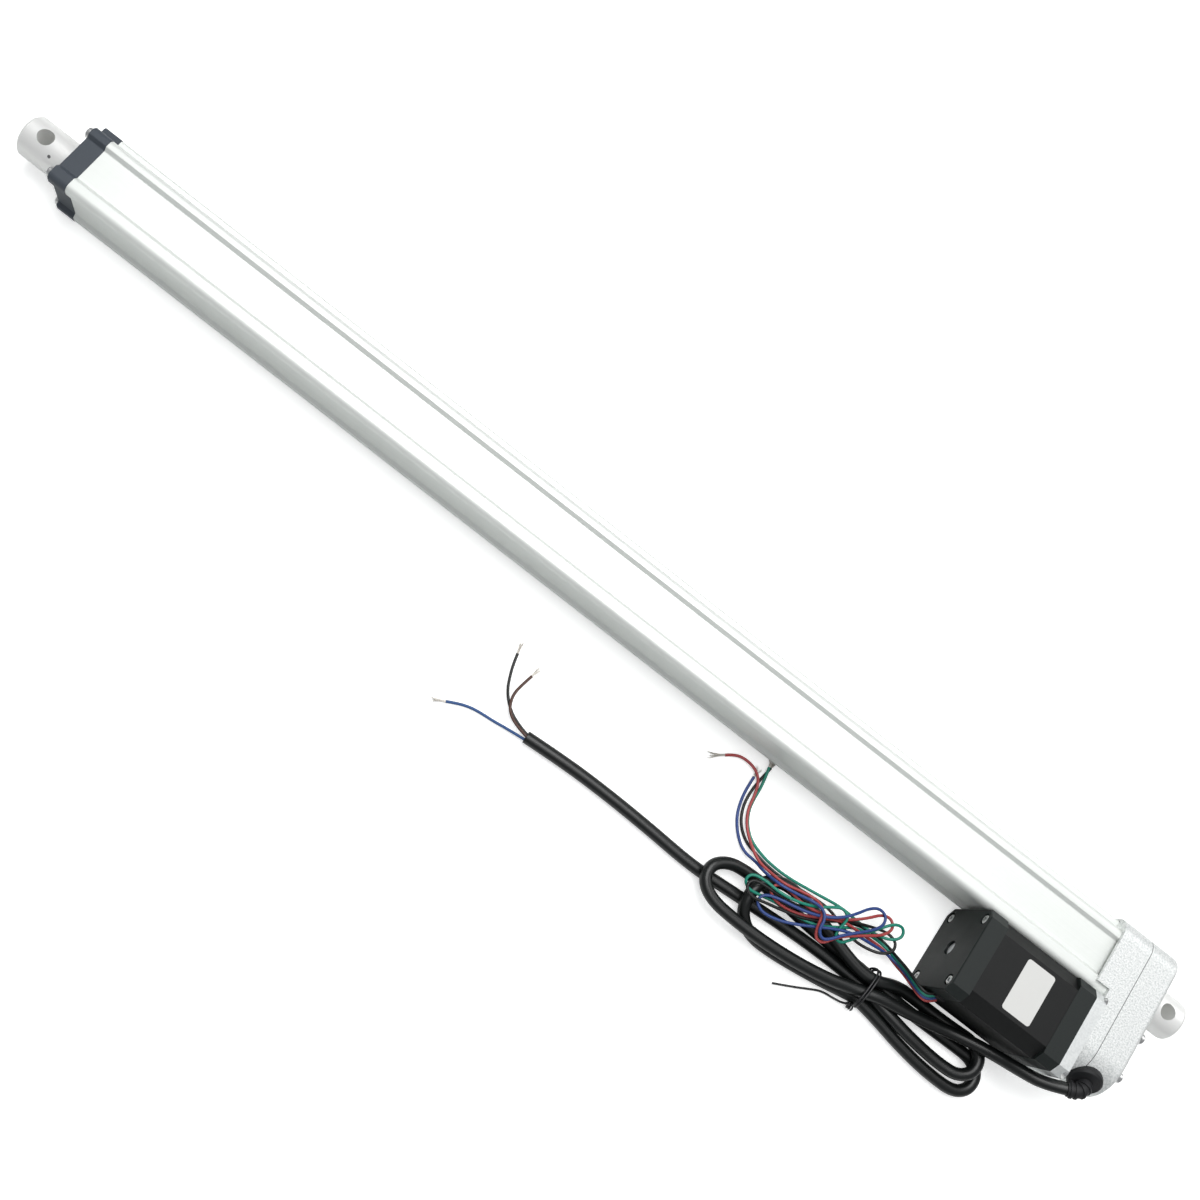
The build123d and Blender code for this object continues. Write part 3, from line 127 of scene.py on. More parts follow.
# A lead's first run, and the step from it to the run of a lead beside it.
LEAD_IN = [
    (122.4, 76.4, -2.4), (126.0, 80.6, -2.4), (131.5, 80.9, -3.4), (137.0, 77.6, -7.6),
    (142.0, 73.6, -14.0), (148.5, 70.6, -19.6),
]
LEAD_STEP = (-0.5, 0.45, -0.74)
RED_OUT = [
    (246.0, 76.0, -14.0), (254.5, 74.0, -18.0), (264.3, 66.4, -21.8), (271.4, 59.0, -23.2),
    (275.6, 50.8, -23.2), (277.0, 41.0, -23.2), (279.7, 33.0, -23.2), (284.8, 28.4, -23.3),
    (292.2, 26.5, -24.2), (300.3, 27.6, -25.0), (305.8, 32.4, -25.0),
]
BLUE_OUT = [
    (254.0, 74.4, -21.6), (263.5, 73.4, -24.6), (272.2, 66.6, -25.3), (278.4, 58.4, -25.3),
    (281.4, 50.2, -25.3), (283.0, 41.2, -25.3), (283.2, 32.1, -25.3),
]
BLACK_OUT = [
    (255.5, 70.0, -24.6), (265.0, 67.6, -25.5), (273.6, 61.0, -25.4), (278.4, 52.0, -25.3),
    (279.9, 41.8, -25.3), (279.1, 31.3, -25.3), (277.6, 21.2, -25.2),
]
GREEN_OUT = [
    (263.4, 64.4, -25.5), (270.4, 58.0, -25.4), (274.4, 50.4, -25.4), (275.7, 42.0, -25.3),
    (276.2, 33.4, -24.2), (279.4, 22.0, -22.4),
]
# The wires inside the small hank: to the left end, back to the right end, through the knot, out.
RED_HANK = [
    (157.0, 69.0, -22.6), (168.0, 70.0, -20.0), (180.0, 71.4, -15.5), (192.0, 73.0, -11.5),
    (204.0, 79.5, -9.2), (216.0, 86.0, -9.6), (226.0, 88.6, -9.8), (235.0, 89.0, -9.2),
    (240.6, 86.0, -8.8), (240.2, 80.8, -7.4), (233.6, 79.0, -6.6), (222.0, 80.6, -7.4),
    (210.0, 79.4, -7.6), (198.0, 75.0, -8.0), (188.0, 69.4, -12.6), (178.6, 61.0, -14.5),
    (171.4, 53.4, -18.6), (164.8, 51.4, -19.2), (160.8, 56.2, -17.8), (164.0, 63.0, -16.6),
    (173.0, 70.0, -13.0), (186.0, 79.0, -7.6), (193.6, 86.4, -5.8), (197.4, 92.6, -6.0),
    (203.0, 93.0, -5.6), (206.0, 87.0, -4.4), (207.2, 80.0, -3.2), (210.4, 75.0, -4.4),
    (216.0, 73.4, -8.2), (224.0, 74.6, -9.2), (235.0, 77.6, -8.8),
]
BLUE_HANK = [
    (158.0, 70.6, -20.0), (169.0, 72.6, -16.4), (182.0, 75.0, -11.2), (194.0, 80.0, -8.8),
    (207.0, 87.6, -8.4), (219.0, 94.2, -9.0), (229.0, 98.0, -9.4), (238.0, 99.2, -9.6),
    (243.8, 95.8, -9.4), (242.8, 90.2, -8.4), (235.0, 87.2, -6.4), (220.0, 84.8, -4.8),
    (207.0, 80.6, -4.8), (196.0, 73.4, -5.0), (188.0, 64.6, -9.0), (182.0, 56.8, -14.8),
    (176.0, 51.8, -16.2), (169.8, 52.6, -16.2), (168.0, 58.6, -15.0), (172.6, 65.4, -12.6),
    (180.0, 72.4, -9.4), (190.0, 81.4, -5.0), (195.6, 88.4, -3.4), (200.4, 91.6, -3.2),
    (205.2, 88.2, -1.8), (205.4, 82.0, -0.8), (209.0, 77.0, -1.4), (215.6, 75.8, -5.6),
    (226.0, 78.6, -4.4), (240.0, 80.6, -4.5), (248.6, 77.6, -15.6),
]
GREEN_HANK = [
    (157.6, 66.6, -24.0), (168.0, 67.0, -22.4), (180.0, 69.4, -18.4), (192.0, 77.4, -12.4),
    (204.0, 85.4, -9.9), (218.0, 88.2, -11.4), (232.0, 88.8, -11.2), (244.0, 91.6, -10.8),
    (252.0, 93.0, -10.4), (257.0, 89.4, -9.4), (255.0, 84.2, -8.2), (246.0, 83.2, -7.0),
    (236.0, 84.4, -4.6), (224.0, 82.4, -3.4), (211.0, 76.8, -8.0), (203.0, 70.6, -8.8),
    (196.6, 67.0, -9.0), (191.2, 70.4, -8.4), (191.8, 77.0, -10.4), (192.0, 83.2, -11.4),
    (186.8, 85.2, -12.0), (181.4, 79.4, -14.4), (176.0, 71.6, -14.9), (168.8, 61.4, -15.6),
    (162.4, 53.6, -15.6), (156.0, 51.8, -17.0), (153.0, 57.0, -17.8), (158.0, 62.8, -17.8),
    (168.0, 65.6, -19.6), (180.0, 65.6, -21.2), (194.0, 64.4, -21.6), (212.0, 67.0, -23.4),
    (232.0, 69.8, -23.9), (246.0, 69.2, -24.9), (255.0, 67.4, -25.3),
]
BLACK_HANK = [
    (156.4, 65.0, -25.0), (167.0, 64.2, -24.8), (180.0, 67.0, -22.0), (192.0, 73.0, -15.6),
    (203.0, 81.2, -10.4), (214.0, 87.0, -9.4), (228.0, 91.0, -9.2), (240.0, 94.0, -7.6),
    (249.0, 96.4, -7.0), (254.8, 93.0, -6.6), (253.6, 87.2, -6.6), (245.0, 85.8, -6.8),
    (230.0, 85.0, -7.4), (216.0, 81.8, -8.4), (203.0, 77.6, -10.4), (192.0, 71.4, -14.4),
    (180.0, 66.4, -17.6), (170.0, 62.0, -21.6), (161.0, 59.4, -21.2), (154.4, 61.6, -18.8),
    (153.4, 67.8, -17.4), (159.0, 73.4, -17.2), (168.0, 76.0, -18.8), (178.0, 76.8, -18.8),
    (188.0, 74.4, -19.4), (200.0, 69.6, -21.6), (216.0, 70.4, -23.0), (232.0, 72.4, -22.6),
    (246.0, 72.0, -23.6),
]
TIE_TAIL = [
    (158.0, 108.8, -20.4), (160.6, 110.4, -24.4), (166.0, 111.0, -26.6), (175.1, 112.0, -26.6),
    (182.0, 115.5, -26.4), (190.0, 119.9, -26.3), (203.4, 126.4, -26.2),
]

# Each core's name and route, and the length of its bare strands in metres.
CORES = (
    ("core_blue", CORE_BLUE, 0.0085),
    ("core_black", CORE_BLACK, 0.0070),
    ("core_brown", CORE_BROWN, 0.0070),
)
# Each lead's colour, its steps to the side at the motor, its routes and its bare length in metres.
LEADS = (
    ("red", 3.6, RED_HANK, RED_OUT, 0.012),
    ("blue", 1.2, BLUE_HANK, BLUE_OUT, 0.007),
    ("green", -1.2, GREEN_HANK, GREEN_OUT, 0.006),
    ("black", -3.6, BLACK_HANK, BLACK_OUT, 0.009),
)
LEAD_FIRST_SEED = 10

# Bare strands, in metres.
STRAND_COUNT = 14
STRAND_RADIUS = 0.00017
STRAND_ROOT = -0.0008
STRAND_STEPS = 5
STRAND_SIDES = 6
BUNDLE_SHARE = 0.68
CORE_FLARE = 0.0008
LEAD_FLARE = 0.0022

# The twist tie: its ring's place and reach, and its knot, in millimetres.
TIE_RING_X = 157.0
TIE_LOW, TIE_HIGH = -27.4, -11.2
TIE_NEAR, TIE_FAR = 82.4, 108.6
TIE_STEPS = 28
TIE_SLANT = 0.8
TIE_SQUARENESS = 0.7
TIE_SECOND_STEP = -1.9
KNOT_START = (154.6, 109.6, -24.0)
KNOT_REACH = (1.6, 1.9)
KNOT_PITCH = 0.16
KNOT_STEPS = 26
KNOT_STEPS_PER_TURN = 9
KNOT_SHARE = 0.8

# The label and the punched mark, a dark disc painted as the shade inside a dimple, in metres and
# radians.
LABEL_THICKNESS = 0.00012
LABEL_CORNER_STEPS = 6
MARK_FROM_NOSE = 0.0215
MARK_RADIUS = 0.0010
MARK_ANGLE = math.radians(55.0)
MARK_SIDES = 24
# Each ring's share of the mark's radius and its height over the bar, then the middle's height.
MARK_RINGS = ((1.0, 0.00001), (1.0, 0.00006), (0.7, 0.00003))
MARK_MIDDLE_LIFT = 0.00002

# The camera fitted to the photograph, in the frame's metres and in degrees.
CAMERA_PLACE = (0.46242, 0.25376, 0.76062)
CAMERA_TURN = (10.51166, -12.38483, -143.89338)
CAMERA_LENS = 40.358
CAMERA_SENSOR = 36.0
CAMERA_SHIFT = (0.0080, 0.0409)
CAMERA_REACH = (0.01, 20.0)

# The floor rises towards the tube's front end. Its glow is seen by the camera alone.
FLOOR_CORNERS = ((-2.6, -2.6), (3.4, -2.6), (3.4, 3.2), (-2.6, 3.2))
FLOOR_TILT = 0.012
FLOOR_GAP = 0.0002
FLOOR_GLOW = 0.52
WORLD_COLOR = (0.95, 0.97, 1.0, 1.0)
WORLD_STRENGTH = 0.30
# Each lamp's name, place, target, size in metres and power in watts.
LAMPS = (
    ("key", (0.60, -0.55, 1.7), (0.42, 0.03, 0.0), 1.3, 24.0),
    ("overhead", (0.20, 0.25, 1.8), (0.25, 0.05, 0.0), 1.2, 8.0),
    ("rim", (-0.6, -0.9, 0.9), (0.2, 0.0, 0.0), 1.0, 5.0),
)


def mm(*values):
    """Turns millimetres into a point in metres."""
    return tuple(value * MM for value in values)


def route(points):
    """Turns a list of points in millimetres into metres."""
    return [mm(*point) for point in points]


def link_up(obj):
    """Puts a new object in the scene and returns it."""
    bpy.context.scene.collection.objects.link(obj)
    return obj


def mesh_object(name, build):
    """Makes a mesh object from a function that fills a bmesh in metres."""
    mesh = bpy.data.meshes.new(name)
    shape = bmesh.new()
    build(shape)
    bmesh.ops.recalc_face_normals(shape, faces=shape.faces)
    shape.to_mesh(mesh)
    shape.free()
    return link_up(bpy.data.objects.new(name, mesh))


def curve_object(name, points, radius, resolution=8, sides=5):
    """A smooth round cord along its control points, whose radius is in metres."""
    curve = bpy.data.curves.new(name, "CURVE")
    curve.dimensions = "3D"
    curve.resolution_u = resolution
    curve.bevel_depth = 1.0
    curve.bevel_resolution = sides
    curve.use_fill_caps = True
    spline = curve.splines.new("NURBS")
    spline.points.add(len(points) - 1)
    for control, place in zip(spline.points, points):
        control.co = (*place, 1.0)
        control.radius = radius
    spline.order_u = 3
    spline.use_endpoint_u = True
    return link_up(bpy.data.objects.new(name, curve))


def curve_points(obj):
    """The points of a cord's smooth line, read from the curve with its bevel taken off."""
    depth = obj.data.bevel_depth
    obj.data.bevel_depth = 0.0
    bpy.context.view_layer.update()
    graph = bpy.context.evaluated_depsgraph_get()
    line = bpy.data.meshes.new_from_object(obj.evaluated_get(graph))
    points = [vertex.co.copy() for vertex in line.vertices]
    bpy.data.meshes.remove(line)
    obj.data.bevel_depth = depth
    return points


def curve_length(obj):
    """The length of a cord's smooth line in metres."""
    points = curve_points(obj)
    return sum((b - a).length for a, b in zip(points, points[1:]))


def join_curves(name, parts):
    """Turns several curves into one mesh and removes them."""
    bpy.context.view_layer.update()
    graph = bpy.context.evaluated_depsgraph_get()
    shape = bmesh.new()
    for part in parts:
        mesh = bpy.data.meshes.new_from_object(part.evaluated_get(graph))
        shape.from_mesh(mesh)
        bpy.data.meshes.remove(mesh)
    mesh = bpy.data.meshes.new(name)
    shape.to_mesh(mesh)
    shape.free()
    for part in parts:
        curve = part.data
        bpy.data.objects.remove(part)
        bpy.data.curves.remove(curve)
    for face in mesh.polygons:
        face.use_smooth = True
    return link_up(bpy.data.objects.new(name, mesh))


# Nodes that the shaders and the strands are built from.


def new_group(name, inputs, outputs):
    """Starts a shader node group and returns it with the sockets it is given and those it fills."""
    tree = bpy.data.node_groups.new(name, "ShaderNodeTree")
    for label, kind, value in inputs:
        socket = tree.interface.new_socket(name=label, in_out="INPUT", socket_type=kind)
        if value is not None:
            socket.default_value = value
    for label, kind in outputs:
        tree.interface.new_socket(name=label, in_out="OUTPUT", socket_type=kind)
    source = tree.nodes.new("NodeGroupInput")
    sink = tree.nodes.new("NodeGroupOutput")
    return tree, source.outputs, sink.inputs


def feed(tree, value, slot):
    """Links a socket to a slot, or sets the slot to a plain value."""
    if isinstance(value, bpy.types.NodeSocket):
        tree.links.new(value, slot)
    else:
        slot.default_value = value


def add_node(tree, kind, **values):
    """Adds a node and feeds its inputs by name."""
    node = tree.nodes.new(kind)
    for label, value in values.items():
        feed(tree, value, node.inputs[label.replace("_", " ")])
    return node


def math_node(tree, operation, *values, clamp=False):
    """Adds a Math node over numbers and sockets and returns its result."""
    node = tree.nodes.new("ShaderNodeMath")
    node.operation = operation
    node.use_clamp = clamp
    for value, slot in zip(values, node.inputs):
        feed(tree, value, slot)
    return node.outputs[0]


def mix_node(tree, factor, first, second):
    """Adds a mix of two colours and returns its result."""
    node = tree.nodes.new("ShaderNodeMix")
    node.data_type = "RGBA"
    for label, value in (("Factor", factor), ("A", first), ("B", second)):
        feed(tree, value, node.inputs[label])
    return node.outputs["Result"]


def mottle_group():
    """Slow and fast noise that varies a colour and a roughness, with a grain height."""
    found = bpy.data.node_groups.get(PREFIX + "_mottle")
    if found:
        return found
    tree, given, result = new_group(
        PREFIX + "_mottle",
        [
            ("Color", "NodeSocketColor", (0.5, 0.5, 0.5, 1.0)),
            ("Dark Color", "NodeSocketColor", (0.3, 0.3, 0.3, 1.0)),
            ("Patch Scale", "NodeSocketFloat", 40.0),
            ("Grain Scale", "NodeSocketFloat", 900.0),
            ("Patch Amount", "NodeSocketFloat", 0.3),
            ("Grain Amount", "NodeSocketFloat", 0.2),
            ("Roughness", "NodeSocketFloat", 0.5),
            ("Roughness Spread", "NodeSocketFloat", 0.15),
        ],
        [
            ("Color", "NodeSocketColor"),
            ("Roughness", "NodeSocketFloat"),
            ("Height", "NodeSocketFloat"),
        ],
    )
    place = add_node(tree, "ShaderNodeTexCoord").outputs["Object"]
    patch = add_node(
        tree, "ShaderNodeTexNoise", Vector=place, Scale=given["Patch Scale"], Detail=3.0,
    ).outputs["Fac"]
    grain = add_node(
        tree, "ShaderNodeTexNoise", Vector=place, Scale=given["Grain Scale"], Detail=2.0,
    ).outputs["Fac"]
    sharper = add_node(tree, "ShaderNodeMapRange", Value=grain, From_Min=0.40, From_Max=0.64)
    patches = math_node(tree, "MULTIPLY", patch, given["Patch Amount"])
    grains = math_node(tree, "MULTIPLY", sharper.outputs["Result"], given["Grain Amount"])
    both = math_node(tree, "ADD", patches, grains, clamp=True)
    color = mix_node(tree, both, given["Color"], given["Dark Color"])
    rough = math_node(tree, "MULTIPLY_ADD", patch, given["Roughness Spread"], given["Roughness"])
    for label, value in (("Color", color), ("Roughness", rough), ("Height", grain)):
        feed(tree, value, result[label])
    return tree


def streak_group():
    """Fine draw lines along X, as an extrusion or a drawn bar shows them."""
    found = bpy.data.node_groups.get(PREFIX + "_streaks")
    if found:
        return found
    tree, given, result = new_group(
        PREFIX + "_streaks",
        [
            ("Fine", "NodeSocketFloat", 1600.0),
            ("Along", "NodeSocketFloat", 4.0),
            ("Amount", "NodeSocketFloat", 0.5),
        ],
        [("Mask", "NodeSocketFloat")],
    )
    place = add_node(tree, "ShaderNodeTexCoord").outputs["Object"]
    scale = add_node(
        tree, "ShaderNodeCombineXYZ", X=given["Along"], Y=given["Fine"], Z=given["Fine"])
    stretch = tree.nodes.new("ShaderNodeVectorMath")
    stretch.operation = "MULTIPLY"
    feed(tree, place, stretch.inputs[0])
    feed(tree, scale.outputs["Vector"], stretch.inputs[1])
    noise = add_node(
        tree, "ShaderNodeTexNoise", Vector=stretch.outputs["Vector"], Scale=1.0, Detail=2.0)
    mask = math_node(tree, "MULTIPLY", noise.outputs["Fac"], given["Amount"])
    feed(tree, mask, result["Mask"])
    return tree


def wear_group():
    """A mask of worn edges, from the pointed parts of the mesh and a little noise."""
    found = bpy.data.node_groups.get(PREFIX + "_edge_wear")
    if found:
        return found
    tree, given, result = new_group(
        PREFIX + "_edge_wear",
        [
            ("Start", "NodeSocketFloat", 0.52),
            ("Amount", "NodeSocketFloat", 0.6),
            ("Noise Scale", "NodeSocketFloat", 300.0),
        ],
        [("Mask", "NodeSocketFloat")],
    )
    place = add_node(tree, "ShaderNodeTexCoord").outputs["Object"]
    noise = add_node(tree, "ShaderNodeTexNoise", Vector=place, Scale=given["Noise Scale"])
    pointed = add_node(tree, "ShaderNodeNewGeometry").outputs["Pointiness"]
    above = add_node(
        tree, "ShaderNodeMapRange", Value=pointed, From_Min=given["Start"], From_Max=0.62)
    worn = math_node(tree, "MULTIPLY", above.outputs["Result"], noise.outputs["Fac"])
    mask = math_node(tree, "MULTIPLY", worn, given["Amount"], clamp=True)
    feed(tree, mask, result["Mask"])
    return tree


def layers_group():
    """The height of thin sheets stacked along X."""
    found = bpy.data.node_groups.get(PREFIX + "_layers")
    if found:
        return found
    tree, given, result = new_group(
        PREFIX + "_layers",
        [("Bands", "NodeSocketFloat", 100.0), ("Distortion", "NodeSocketFloat", 0.6)],
        [("Height", "NodeSocketFloat")],
    )
    place = add_node(tree, "ShaderNodeTexCoord").outputs["Object"]
    wave = add_node(
        tree, "ShaderNodeTexWave", Vector=place, Scale=given["Bands"],
        Distortion=given["Distortion"], Detail=1.0)
    wave.wave_type = "BANDS"
    wave.bands_direction = "X"
    feed(tree, wave.outputs["Fac"], result["Height"])
    return tree


# Materials.


def start_material(name):
    """An empty node material with its shader and output."""
    material = bpy.data.materials.new(name)
    material.use_nodes = True
    nodes = material.node_tree.nodes
    nodes.clear()
    shader = nodes.new("ShaderNodeBsdfPrincipled")
    output = nodes.new("ShaderNodeOutputMaterial")
    material.node_tree.links.new(shader.outputs["BSDF"], output.inputs["Surface"])
    return material, shader


def use_group(material, tree, **values):
    """Places a shader group in a material with its own values."""
    node = material.node_tree.nodes.new("ShaderNodeGroup")
    node.node_tree = tree
    for label, value in values.items():
        node.inputs[label.replace("_", " ")].default_value = value
    return node


def add_bump(material, shader, height, distance, strength):
    """Feeds a height into the shader's normal."""
    tree = material.node_tree
    bump = add_node(tree, "ShaderNodeBump", Height=height, Distance=distance, Strength=strength)
    feed(tree, bump.outputs["Normal"], shader.inputs["Normal"])


def add_mottle(material, shader, color, dark, **values):
    """Gives a shader its colour and roughness from the mottle group, and returns the group."""
    group = use_group(
        material, mottle_group(), Color=(*color, 1.0), Dark_Color=(*dark, 1.0), **values)
    links = material.node_tree.links
    links.new(group.outputs["Color"], shader.inputs["Base Color"])
    links.new(group.outputs["Roughness"], shader.inputs["Roughness"])
    return group


def mottled(name, color, dark, roughness, metallic=0.0, patch_scale=40.0, grain_scale=900.0,
            patch=0.3, grain=0.2, spread=0.12, bump=0.00005, strength=0.25, specular=0.5):
    """A finish with slow patches, fine grain and a little relief."""
    found = bpy.data.materials.get(name)
    if found:
        return found
    material, shader = start_material(name)
    group = add_mottle(
        material, shader, color, dark, Patch_Scale=patch_scale, Grain_Scale=grain_scale,
        Patch_Amount=patch, Grain_Amount=grain, Roughness=roughness, Roughness_Spread=spread)
    shader.inputs["Metallic"].default_value = metallic
    shader.inputs["Specular IOR Level"].default_value = specular
    add_bump(material, shader, group.outputs["Height"], bump, strength)
    return material


def drawn_metal(name, color, dark, roughness, fine=1600.0, along=4.0, amount=0.5, metallic=0.85,
                wear=0.35, worn_color=(0.86, 0.87, 0.86), spread=0.2, bump=0.00003, strength=0.2):
    """Metal with fine lines along X, for the extrusion and the drawn bars."""
    found = bpy.data.materials.get(name)
    if found:
        return found
    material, shader = start_material(name)
    tree = material.node_tree
    streaks = use_group(
        material, streak_group(), Fine=fine, Along=along, Amount=amount).outputs["Mask"]
    edges = use_group(material, wear_group(), Amount=wear).outputs["Mask"]
    metal = mix_node(tree, streaks, (*color, 1.0), (*dark, 1.0))
    feed(tree, mix_node(tree, edges, metal, (*worn_color, 1.0)), shader.inputs["Base Color"])
    rough = add_node(
        tree, "ShaderNodeMapRange", Value=streaks, To_Min=roughness, To_Max=roughness + spread)
    feed(tree, rough.outputs["Result"], shader.inputs["Roughness"])
    shader.inputs["Metallic"].default_value = metallic
    add_bump(material, shader, streaks, bump, strength)
    return material


def laminated(name, color, dark, pitch=0.0005):
    """Stacked sheets, bare or painted over: fine grooves across X."""
    found = bpy.data.materials.get(name)
    if found:
        return found
    material, shader = start_material(name)
    layers = use_group(material, layers_group(), Bands=WAVE_UNIT / pitch)
    add_mottle(
        material, shader, color, dark, Patch_Scale=60.0, Grain_Scale=1400.0, Patch_Amount=0.5,
        Grain_Amount=0.3, Roughness=0.42, Roughness_Spread=0.2)
    shader.inputs["Specular IOR Level"].default_value = 0.3
    add_bump(material, shader, layers.outputs["Height"], 0.00004, 0.3)
    return material


def finishes():
    """Every material of the object by its short name, none named as one that the frame brings."""
    look = bpy.context.scene.actuator_look
    tube = tuple(look.tube_color)
    cast = tuple(look.cast_color)
    return {
        "anodised": drawn_metal(
            "anodised_extrusion", tube, (0.60, 0.65, 0.60), 0.42, amount=0.3, metallic=0.35),
        "bar": drawn_metal(
            "turned_bar", (0.90, 0.90, 0.88), (0.72, 0.73, 0.71), 0.34, fine=2400.0, amount=0.3,
            metallic=0.35),
        "cast": mottled(
            "cast_case", cast, (0.53, 0.56, 0.55), 0.40, metallic=0.5, patch_scale=90.0,
            grain_scale=980.0, patch=0.12, grain=0.7, bump=0.0004, strength=0.55),
        "milled": mottled(
            "milled_plate", (0.86, 0.88, 0.87), (0.56, 0.58, 0.58), 0.32, metallic=0.6,
            patch_scale=110.0, grain_scale=700.0, patch=0.45, grain=0.25),
        "cap": mottled(
            "cap_plastic", (0.060, 0.071, 0.086), (0.044, 0.053, 0.065), 0.42, patch_scale=60.0,
            grain_scale=1800.0, bump=0.00006, strength=0.3, specular=0.35),
        "zinc": mottled(
            "zinc_screws", (0.80, 0.80, 0.79), (0.58, 0.59, 0.60), 0.22, metallic=1.0,
            patch_scale=300.0, grain_scale=2400.0),
        "steel": mottled(
            "ground_steel", (0.62, 0.63, 0.64), (0.42, 0.43, 0.45), 0.28, metallic=1.0,
            patch_scale=200.0, grain_scale=2000.0),
        "bronze": mottled(
            "bearing_bronze", (0.66, 0.45, 0.22), (0.45, 0.29, 0.13), 0.35, metallic=1.0),
        # Painted shade: the punched mark's dark grey stands in for the shade inside its dimple.
        "mark": mottled(
            "punched_dimple_painted_shade", (0.20, 0.20, 0.20), (0.10, 0.10, 0.10), 0.5, metallic=0.6),
        "copper": mottled(
            "enamelled_copper", (0.70, 0.30, 0.12), (0.42, 0.16, 0.06), 0.3, metallic=0.9,
            grain_scale=3000.0, grain=0.6),
        "black_plastic": mottled(
            "moulded_black", (0.014, 0.0145, 0.016), (0.008, 0.008, 0.009), 0.5,
            grain_scale=2200.0, specular=0.35),
        "white_plastic": mottled(
            "moulded_white", (0.78, 0.78, 0.75), (0.62, 0.62, 0.58), 0.4),
        "bell": mottled(
            "motor_bell_paint", (0.0085, 0.0130, 0.0120), (0.005, 0.0078, 0.0072), 0.40,
            patch_scale=70.0, grain_scale=1900.0, patch=0.5, grain=0.35, bump=0.00008,
            strength=0.35, specular=0.38),
        "stack": laminated(
            "motor_stack_paint", (0.0050, 0.0056, 0.0056), (0.003, 0.0034, 0.0034)),
        "lamination": laminated("bare_laminations", (0.32, 0.32, 0.33), (0.20, 0.20, 0.21)),
        "magnet": mottled(
            "sintered_magnet", (0.15, 0.15, 0.16), (0.08, 0.08, 0.09), 0.5, metallic=0.6),
        "rubber": mottled("black_rubber", (0.020, 0.020, 0.021), (0.012, 0.012, 0.012), 0.6),
        "board": mottled(
            "circuit_board", (0.02, 0.16, 0.07), (0.01, 0.10, 0.04), 0.35, grain_scale=3000.0),
        "label": mottled(
            "label_paper", (0.66, 0.66, 0.64), (0.56, 0.56, 0.54), 0.45, patch_scale=90.0,
            grain_scale=3500.0, patch=0.25, grain=0.15, bump=0.00001, strength=0.1),
        "cable": mottled(
            "cable_sheath", (0.0050, 0.0065, 0.0062), (0.003, 0.0036, 0.0035), 0.28,
            patch_scale=35.0, grain_scale=2600.0, patch=0.6, grain=0.3, bump=0.00003,
            strength=0.2),
        "tie": mottled("tie_plastic", (0.014, 0.014, 0.015), (0.008, 0.008, 0.009), 0.3),
        "core_blue": mottled(
            "core_blue_sheath", (0.012, 0.075, 0.24), (0.008, 0.04, 0.14), 0.35),
        "core_black": mottled(
            "core_black_sheath", (0.006, 0.006, 0.006), (0.003, 0.003, 0.003), 0.35),
        "core_brown": mottled(
            "core_brown_sheath", (0.075, 0.026, 0.014), (0.045, 0.015, 0.008), 0.35),
        "wire_red": mottled(
            "wire_red_sheath", (0.42, 0.060, 0.060), (0.26, 0.032, 0.034), 0.36),
        "wire_blue": mottled(
            "wire_blue_sheath", (0.026, 0.066, 0.25), (0.014, 0.034, 0.14), 0.36),
        "wire_green": mottled(
            "wire_green_sheath", (0.006, 0.25, 0.17), (0.004, 0.15, 0.10), 0.36),
        "wire_black": mottled(
            "wire_black_sheath", (0.006, 0.006, 0.006), (0.003, 0.003, 0.003), 0.36),
        "tinned": mottled(
            "tinned_strands", (0.74, 0.71, 0.66), (0.45, 0.42, 0.38), 0.3, metallic=1.0,
            grain_scale=4000.0),
    }


NODE_FINISH = {
    "tube": "anodised", "front_cap": "cap", "cap_screws": "zinc", "rod_wiper": "rubber",
    "rod_bush": "bronze", "rod_tube": "bar", "front_eye": "bar", "rod_pins": "steel",
    "drive_nut": "white_plastic", "nut_magnet": "magnet", "lead_screw": "steel",
    "screw_guide": "white_plastic", "screw_bearing": "steel", "bearing_circlip": "steel",
    "tail_bearing": "steel", "screw_gear": "steel", "gear_pin": "steel", "idler_gear": "steel",
    "idler_pin": "steel", "pinion": "steel", "pinion_screw": "steel", "gear_housing": "cast",
    "gear_cover": "cast", "case_gasket": "rubber", "case_screws": "zinc", "tube_screws": "zinc",
    "rear_eye": "bar", "eye_screws": "zinc", "motor_adapter": "milled", "adapter_screws": "zinc",
    "mount_screws": "zinc", "motor_front_bell": "bell", "motor_stack": "stack",
    "motor_coils": "copper", "motor_rear_bell": "bell", "tie_screws": "zinc",
    "motor_shaft": "steel", "rotor_stacks": "lamination", "rotor_magnet": "magnet",
    "motor_bearings": "steel",
    "wave_washer": "steel", "lead_grommet": "black_plastic", "cable_gland": "black_plastic",
    "sensor_board": "board", "hall_sensors": "black_plastic",
}


def dress(obj, material):
    """Gives an object one material."""
    obj.data.materials.clear()
    obj.data.materials.append(material)


# Bare strands, made by geometry nodes.


